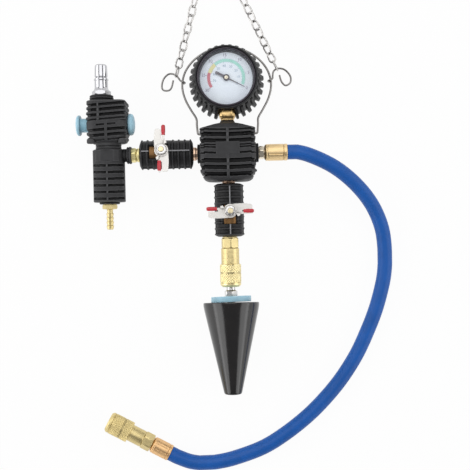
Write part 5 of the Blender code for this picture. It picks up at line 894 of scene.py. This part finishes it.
def number_shell(text, height, radius, angle):
    """A generic numeral as a flat shell, its centre on a circle round the dial's middle."""
    curve = bpy.data.curves.new("numeral", "FONT")
    fill(curve, body=text, size=height, extrude=0.02, resolution_u=3, align_x="CENTER", align_y="CENTER")
    made = bpy.data.objects.new("numeral", curve)
    mesh = bpy.data.meshes.new_from_object(made)
    points = np.array([v.co for v in mesh.vertices], float).reshape(-1, 3)
    faces = [list(face.vertices) for face in mesh.polygons]
    bpy.data.objects.remove(made)
    bpy.data.curves.remove(curve)
    bpy.data.meshes.remove(mesh)
    middle = (points.min(0) + points.max(0)) / 2
    angle = radians(angle)
    return points - middle + np.array((radius * cos(angle), radius * sin(angle), MARK_HIGH)), faces


def make_dial_marks(gauge):
    for name, start, end, inner_edge, outer_edge, ink in (("teal", -23, 130, 15.6, 18.6, TEAL),
            ("yellow", 130, 163, 15, 18.7, PALE_YELLOW), ("red", 163, 212, 15.9, 18.8, MUTED_RED)):
        piece("dial_band_" + name, arc_strip(inner_edge, outer_edge, start, end), ink, (), gauge)
    outer, inner = [], []
    for i in range(61):
        angle = DIAL_FIRST + DIAL_SWEEP * i / 60
        reach = 20.2 if i % 10 == 0 else (19.8 if i % 5 == 0 else 19.3)
        wide = degrees((0.12 if i % 10 else 0.22) / 19)
        outer.append(arc_strip(18.8, reach, angle - wide, angle + wide))
    for i in range(39):
        angle = DIAL_FIRST + DIAL_SWEEP * i / 38
        wide = degrees((0.1 if i % 5 else 0.16) / 15)
        inner.append(arc_strip(14.9 if i % 5 else 14.2, 15.7, angle - wide, angle + wide))
    outer += [number_shell(str(i * 5), 4.1, 22.4, DIAL_FIRST + DIAL_SWEEP * i / 6) for i in range(7)]
    inner += [number_shell(str(i * 10), 3.4, 11.9, DIAL_FIRST + DIAL_SWEEP * i * 10 / 76) for i in range(8)]
    piece("dial_scale_outer", outer, INK, (), gauge)
    piece("dial_scale_inner", inner, INK_BLUE, (), gauge)


def make_pointer(gauge):
    half = [(19.8, -0.22), (3, -0.62), (0.5, -1.25), (-11.6, -1.35), (-12, -0.9)]
    blade = half[:1] + [(x, -y) for x, y in half] + half[:0:-1]
    ring = eased([(44.2, 1.2), (44.2, 3.3), (45.2, 3.3), (45.5, 2.9), (45.5, 2.1), (45.1, 1.9), (45.1, 1.2)], 0.2)
    hand = gauge @ spin(DIAL_FIRST, "Z")
    piece("gauge_pointer", [prism(blade, 44.4, 44.9), hollow(ring, 48)], DARK, "pointer", hand,
        "gauge_hand", bevel=0.08)
    profile = eased([(34.2, 0.3), (34.2, 0.9), (45.25, 0.9), (45.25, 1.85), (46, 1.85), (46.25, 1.5), (46.25, 0.8),
        (46, 0.6), (46, 0.2)], 0.15)
    piece("gauge_hand_cap", lathe(profile, 40), CAP_CREAM, "pointer_shaft", gauge, "gauge_hand")


# Bail, hooks and chain
BAIL_SHARES = [(0.677, 0.036), (0.69, 0.11), (0.699, 0.18), (0.808, 0.273), (0.925, 0.383), (0.996, 0.499),
    (1, 0.604), (0.929, 0.725), (0.763, 0.84), (0.531, 0.928), (0.277, 0.981), (0, 1)]
# Both hooks start with this eye, in the left one mirrored.
HOOK_EYE = [(1, -1.1, -2.7), (-1.5, -0.9, -2.1), (-2.6, -0.6, -0.3), (-1.9, -0.2, 1.9), (0.2, 0.2, 2.7)]
RIGHT_HOOK = [(1.9, 1.8, 1.8), (2.2, 5, -0.3), (3, 9.2, -1.9), (5.8, 12, -2.6), (8.9, 12.7, -2.9), (13.5, 12, -3.8),
    (17.2, 9.6, -4.9), (20, 5.9, -5.1), (21.1, 2.3, -5.1), (20.4, -1.8, -5.1), (17.6, -4.1, -5.1), (14.9, -4.4, -5.1),
    (12.1, -1.8, -5.1), (10.5, 1.8, -5.1), (9.5, 5.9, -5.1)]
LEFT_HOOK = [(-2.2, 1.6, 1.8), (-3.2, 3.3, -0.3), (-5.9, 7, -1.9), (-9.9, 9.3, -2.9), (-14.4, 9.3, -3.8),
    (-18.6, 6.1, -4.9), (-20.9, 1.5, -5.1), (-21.6, -4, -5.1), (-19.6, -7, -5.1), (-14.4, -7.1, -5.1),
    (-11.6, -4, -5.1), (-9.8, 2.8, -5.1)]
LINK_LENGTH, LINK_WIDTH, LINK_WIRE, LINK_PITCH = 12.6, 8.6, 0.95, 9.2
CHAIN_END = 229
PIVOT = (21.2, 13)
BAIL_TOP = (112, 1.6)
HALF_WIDTH = 45.2
HOOK_SHARE = 0.601
BAIL_RUN, BAIL_RISE = BAIL_TOP[0] - PIVOT[0], BAIL_TOP[1] - PIVOT[1]


def make_bail():
    half = [(a * HALF_WIDTH, PIVOT[0] + b * BAIL_RUN, PIVOT[1] + b * BAIL_RISE) for a, b in BAIL_SHARES]
    loop = smooth_path(half + [(-x, y, z) for x, y, z in half[-2::-1]], 2.2)
    side, bend = half[0][0], 1.8
    stub = [Vector((x, PIVOT[0] + lift, PIVOT[1])) for x, lift in ((24, 0), (side - bend, 0),
        (side - bend * 0.5, bend * 0.14), (side - bend * 0.14, bend * 0.5))]
    other = [Vector((-p.x, p.y, p.z)) for p in reversed(stub)]
    piece("bail_rod", tube(stub + loop + other, 1.1, 16), STEEL, "bail_wire", body="bail", sharp=60)


def link_shell(turn):
    """A chain link with round ends, each side twisted out of its plane so that links lie flat together."""
    half, reach = LINK_WIDTH / 2 - LINK_WIRE, LINK_LENGTH / 2 - LINK_WIRE
    straight = reach - half
    points = []
    for end in (1, -1):
        for i in range(11):
            angle = pi * (i / 10 - end / 2)
            x, y = end * straight + half * cos(angle), half * sin(angle)
            lean = turn * x / reach
            points.append((x, y * cos(lean), y * sin(lean)))
    return tube(points, LINK_WIRE, 10, closed=True)


def make_hanger():
    hook_y, hook_z = PIVOT[0] + HOOK_SHARE * BAIL_RUN, PIVOT[1] + HOOK_SHARE * BAIL_RISE
    for name, side, path, eye, heading in (("right", 1, RIGHT_HOOK, (6.6, 12.2), 114.7),
            ("left", -1, LEFT_HOOK, (-6.3, 7.8), 74.8)):
        bends = [(side * x, y, z) for x, y, z in HOOK_EYE] + path
        route = [(side * HALF_WIDTH + x, hook_y + y, hook_z + z) for x, y, z in bends]
        piece("hook_wire_" + name, tube(smooth_path(route, 0.8), 0.95, 14), STEEL, "hook_" + name,
            body=name + "_hook", sharp=60)
        start = Vector((side * HALF_WIDTH + eye[0], hook_y + eye[1], 4.6))
        facing = spin(heading, "Z")
        along = facing @ Vector((1, 0, 0))
        shells = []
        for i in range(int((CHAIN_END - start.y) / along.y / LINK_PITCH)):
            spot = start + along * (LINK_LENGTH / 2 - 2 * LINK_WIRE - 0.9 + i * LINK_PITCH)
            tilt = 78 if i == 0 else (22 if i % 2 else -42)
            link = link_shell(radians(14) if i else 0)
            shells.append(put(link, Matrix.Translation(spot) @ facing @ spin(tilt, "X")))
        piece("chain_links_" + name, shells, CHAIN_STEEL, "chain_" + name, body=name + "_chain", sharp=60)


# Lower coupler and cone
LIP_Y, LEAN_REACH, LEAN_SLOPE = 149.1, 30, 0.075


def make_coupler():
    body = ([(71.7, 3.5), (71.7, 6.3), (83.4, 6.3), (83.6, 7.5), (84.6, 7.6)] + hex_profile(84.7, 94.6, 15.9, 8)
        + eased([(94.7, 8.2), (95.1, 8.95, 0.4), (99.7, 8.95), (99.8, 8.88), (100, 8.88), (100.1, 8.95),
        (104.7, 8.95), (104.8, 8.88), (105, 8.88), (105.1, 8.95), (115, 8.95), (115.2, 7.7), (131.8, 7.7),
        (132.2, 7.3)], 0.08) + [(132.2, 5.3), (131.8, 5), (113.2, 5), (113.2, 3.5)])
    piece("lower_coupler_body", hollow(body, 72), BRASS_Y, "coupler_body", SOUTH)
    piece("lower_coupler_sleeve", sleeve_shell(110.7, 22.6, 10.55, 9.25, 8, 124.8), KNURLED, "coupler_sleeve",
        SOUTH, "sleeve")
    adapter = (eased([(115.2, 2.2), (115.2, 4), (115.8, 4.4), (122.7, 4.4), (123.2, 3.6), (124.2, 3.6), (124.7, 4.4),
        (133, 4.4), (136.6, 4.4), (137, 4.9)]) + hex_profile(137.3, 142.7, 11.6, 12)
        + [(142.75, 4), (166.7, 4), (166.7, 2.2)])
    piece("adapter_stem", hollow(adapter, 72), BRIGHT_STEEL, "adapter_nipple", SOUTH, "cone_adapter")

    def lean(shell, turn=0):
        """The rubber's own slight tilt: the front edge of the lip sits higher, the taper below stays true."""
        points, faces = put(shell, SOUTH)
        share = np.clip((points[:, 1] + LIP_Y + LEAN_REACH) / LEAN_REACH, 0, 1)
        points[:, 1] += LEAN_SLOPE * (points[:, 2] - AXIS) * share + turn * points[:, 0]
        return points, faces
    washer = eased([(143, 4.3), (143, 19.6), (143.5, 20, 0.5), (148.4, 20, 0.4), (148.8, 19.7), (148.8, 4.3)], 0.4)
    piece("blue_washer", lean(hollow(washer, 96), 0.026), BLUE, "adapter_washer", body="cone_adapter")
    outer = eased([(149.1, 4.3), (149.1, 27.2, 0.5), (149.6, 27.9, 0.5), (152, 27.9, 1), (156.3, 27.2, 1.6),
        (238.8, 9.1, 0.6), (240.2, 8.5, 0.5), (240.4, 7.9), (240.4, 6.2), (239.6, 5.6), (163.1, 5.6), (163.1, 4.3)],
        0.4, 4)
    profile = []
    for (h0, r0), (h1, r1) in zip(outer, outer[1:]):
        cuts = max(1, int(hypot(h1 - h0, r1 - r0) / 6))
        profile += [(h0 + (h1 - h0) * i / cuts, r0 + (r1 - r0) * i / cuts) for i in range(cuts)]
    profile.append(outer[-1])
    piece("cone_rubber_body", lean(hollow(profile, 128)), CONE_RUBBER, "adapter_cone",
        body="cone_adapter")


# CAD nodes that stay
def finish_kept_nodes():
    looks = {"manifold_block": BRASS_SHADED, "valve_1_ball": CHROME, "valve_2_ball": CHROME,
        "venturi_body": BLACK_METAL, "venturi_nozzle": BRASS_Y, "gauge_case": BLACK_METAL,
        "gauge_movement": BRASS_SHADED, "bourdon_tube": BRASS_SHADED}
    for name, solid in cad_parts.items():
        if not solid.hide_render:
            solid.data.materials.clear()
            solid.data.materials.append(looks.get(name, STEEL))


make_camera()
make_studio()
make_hose()
make_manifold()
make_nipples()
make_valve("valve_1", (-65.3, 0, AXIS), 0, -10, -22.8, ((2, 2.4), (2, -2.4)))
make_valve("valve_2", (0, -58, AXIS), 90, 3.5, -25.4, ((2.2, 0), (0.3, 0)))
make_head()
make_tail()
make_gauge()
make_bail()
make_hanger()
make_coupler()
finish_kept_nodes()

bpy.context.scene.view_settings.view_transform = "Standard"
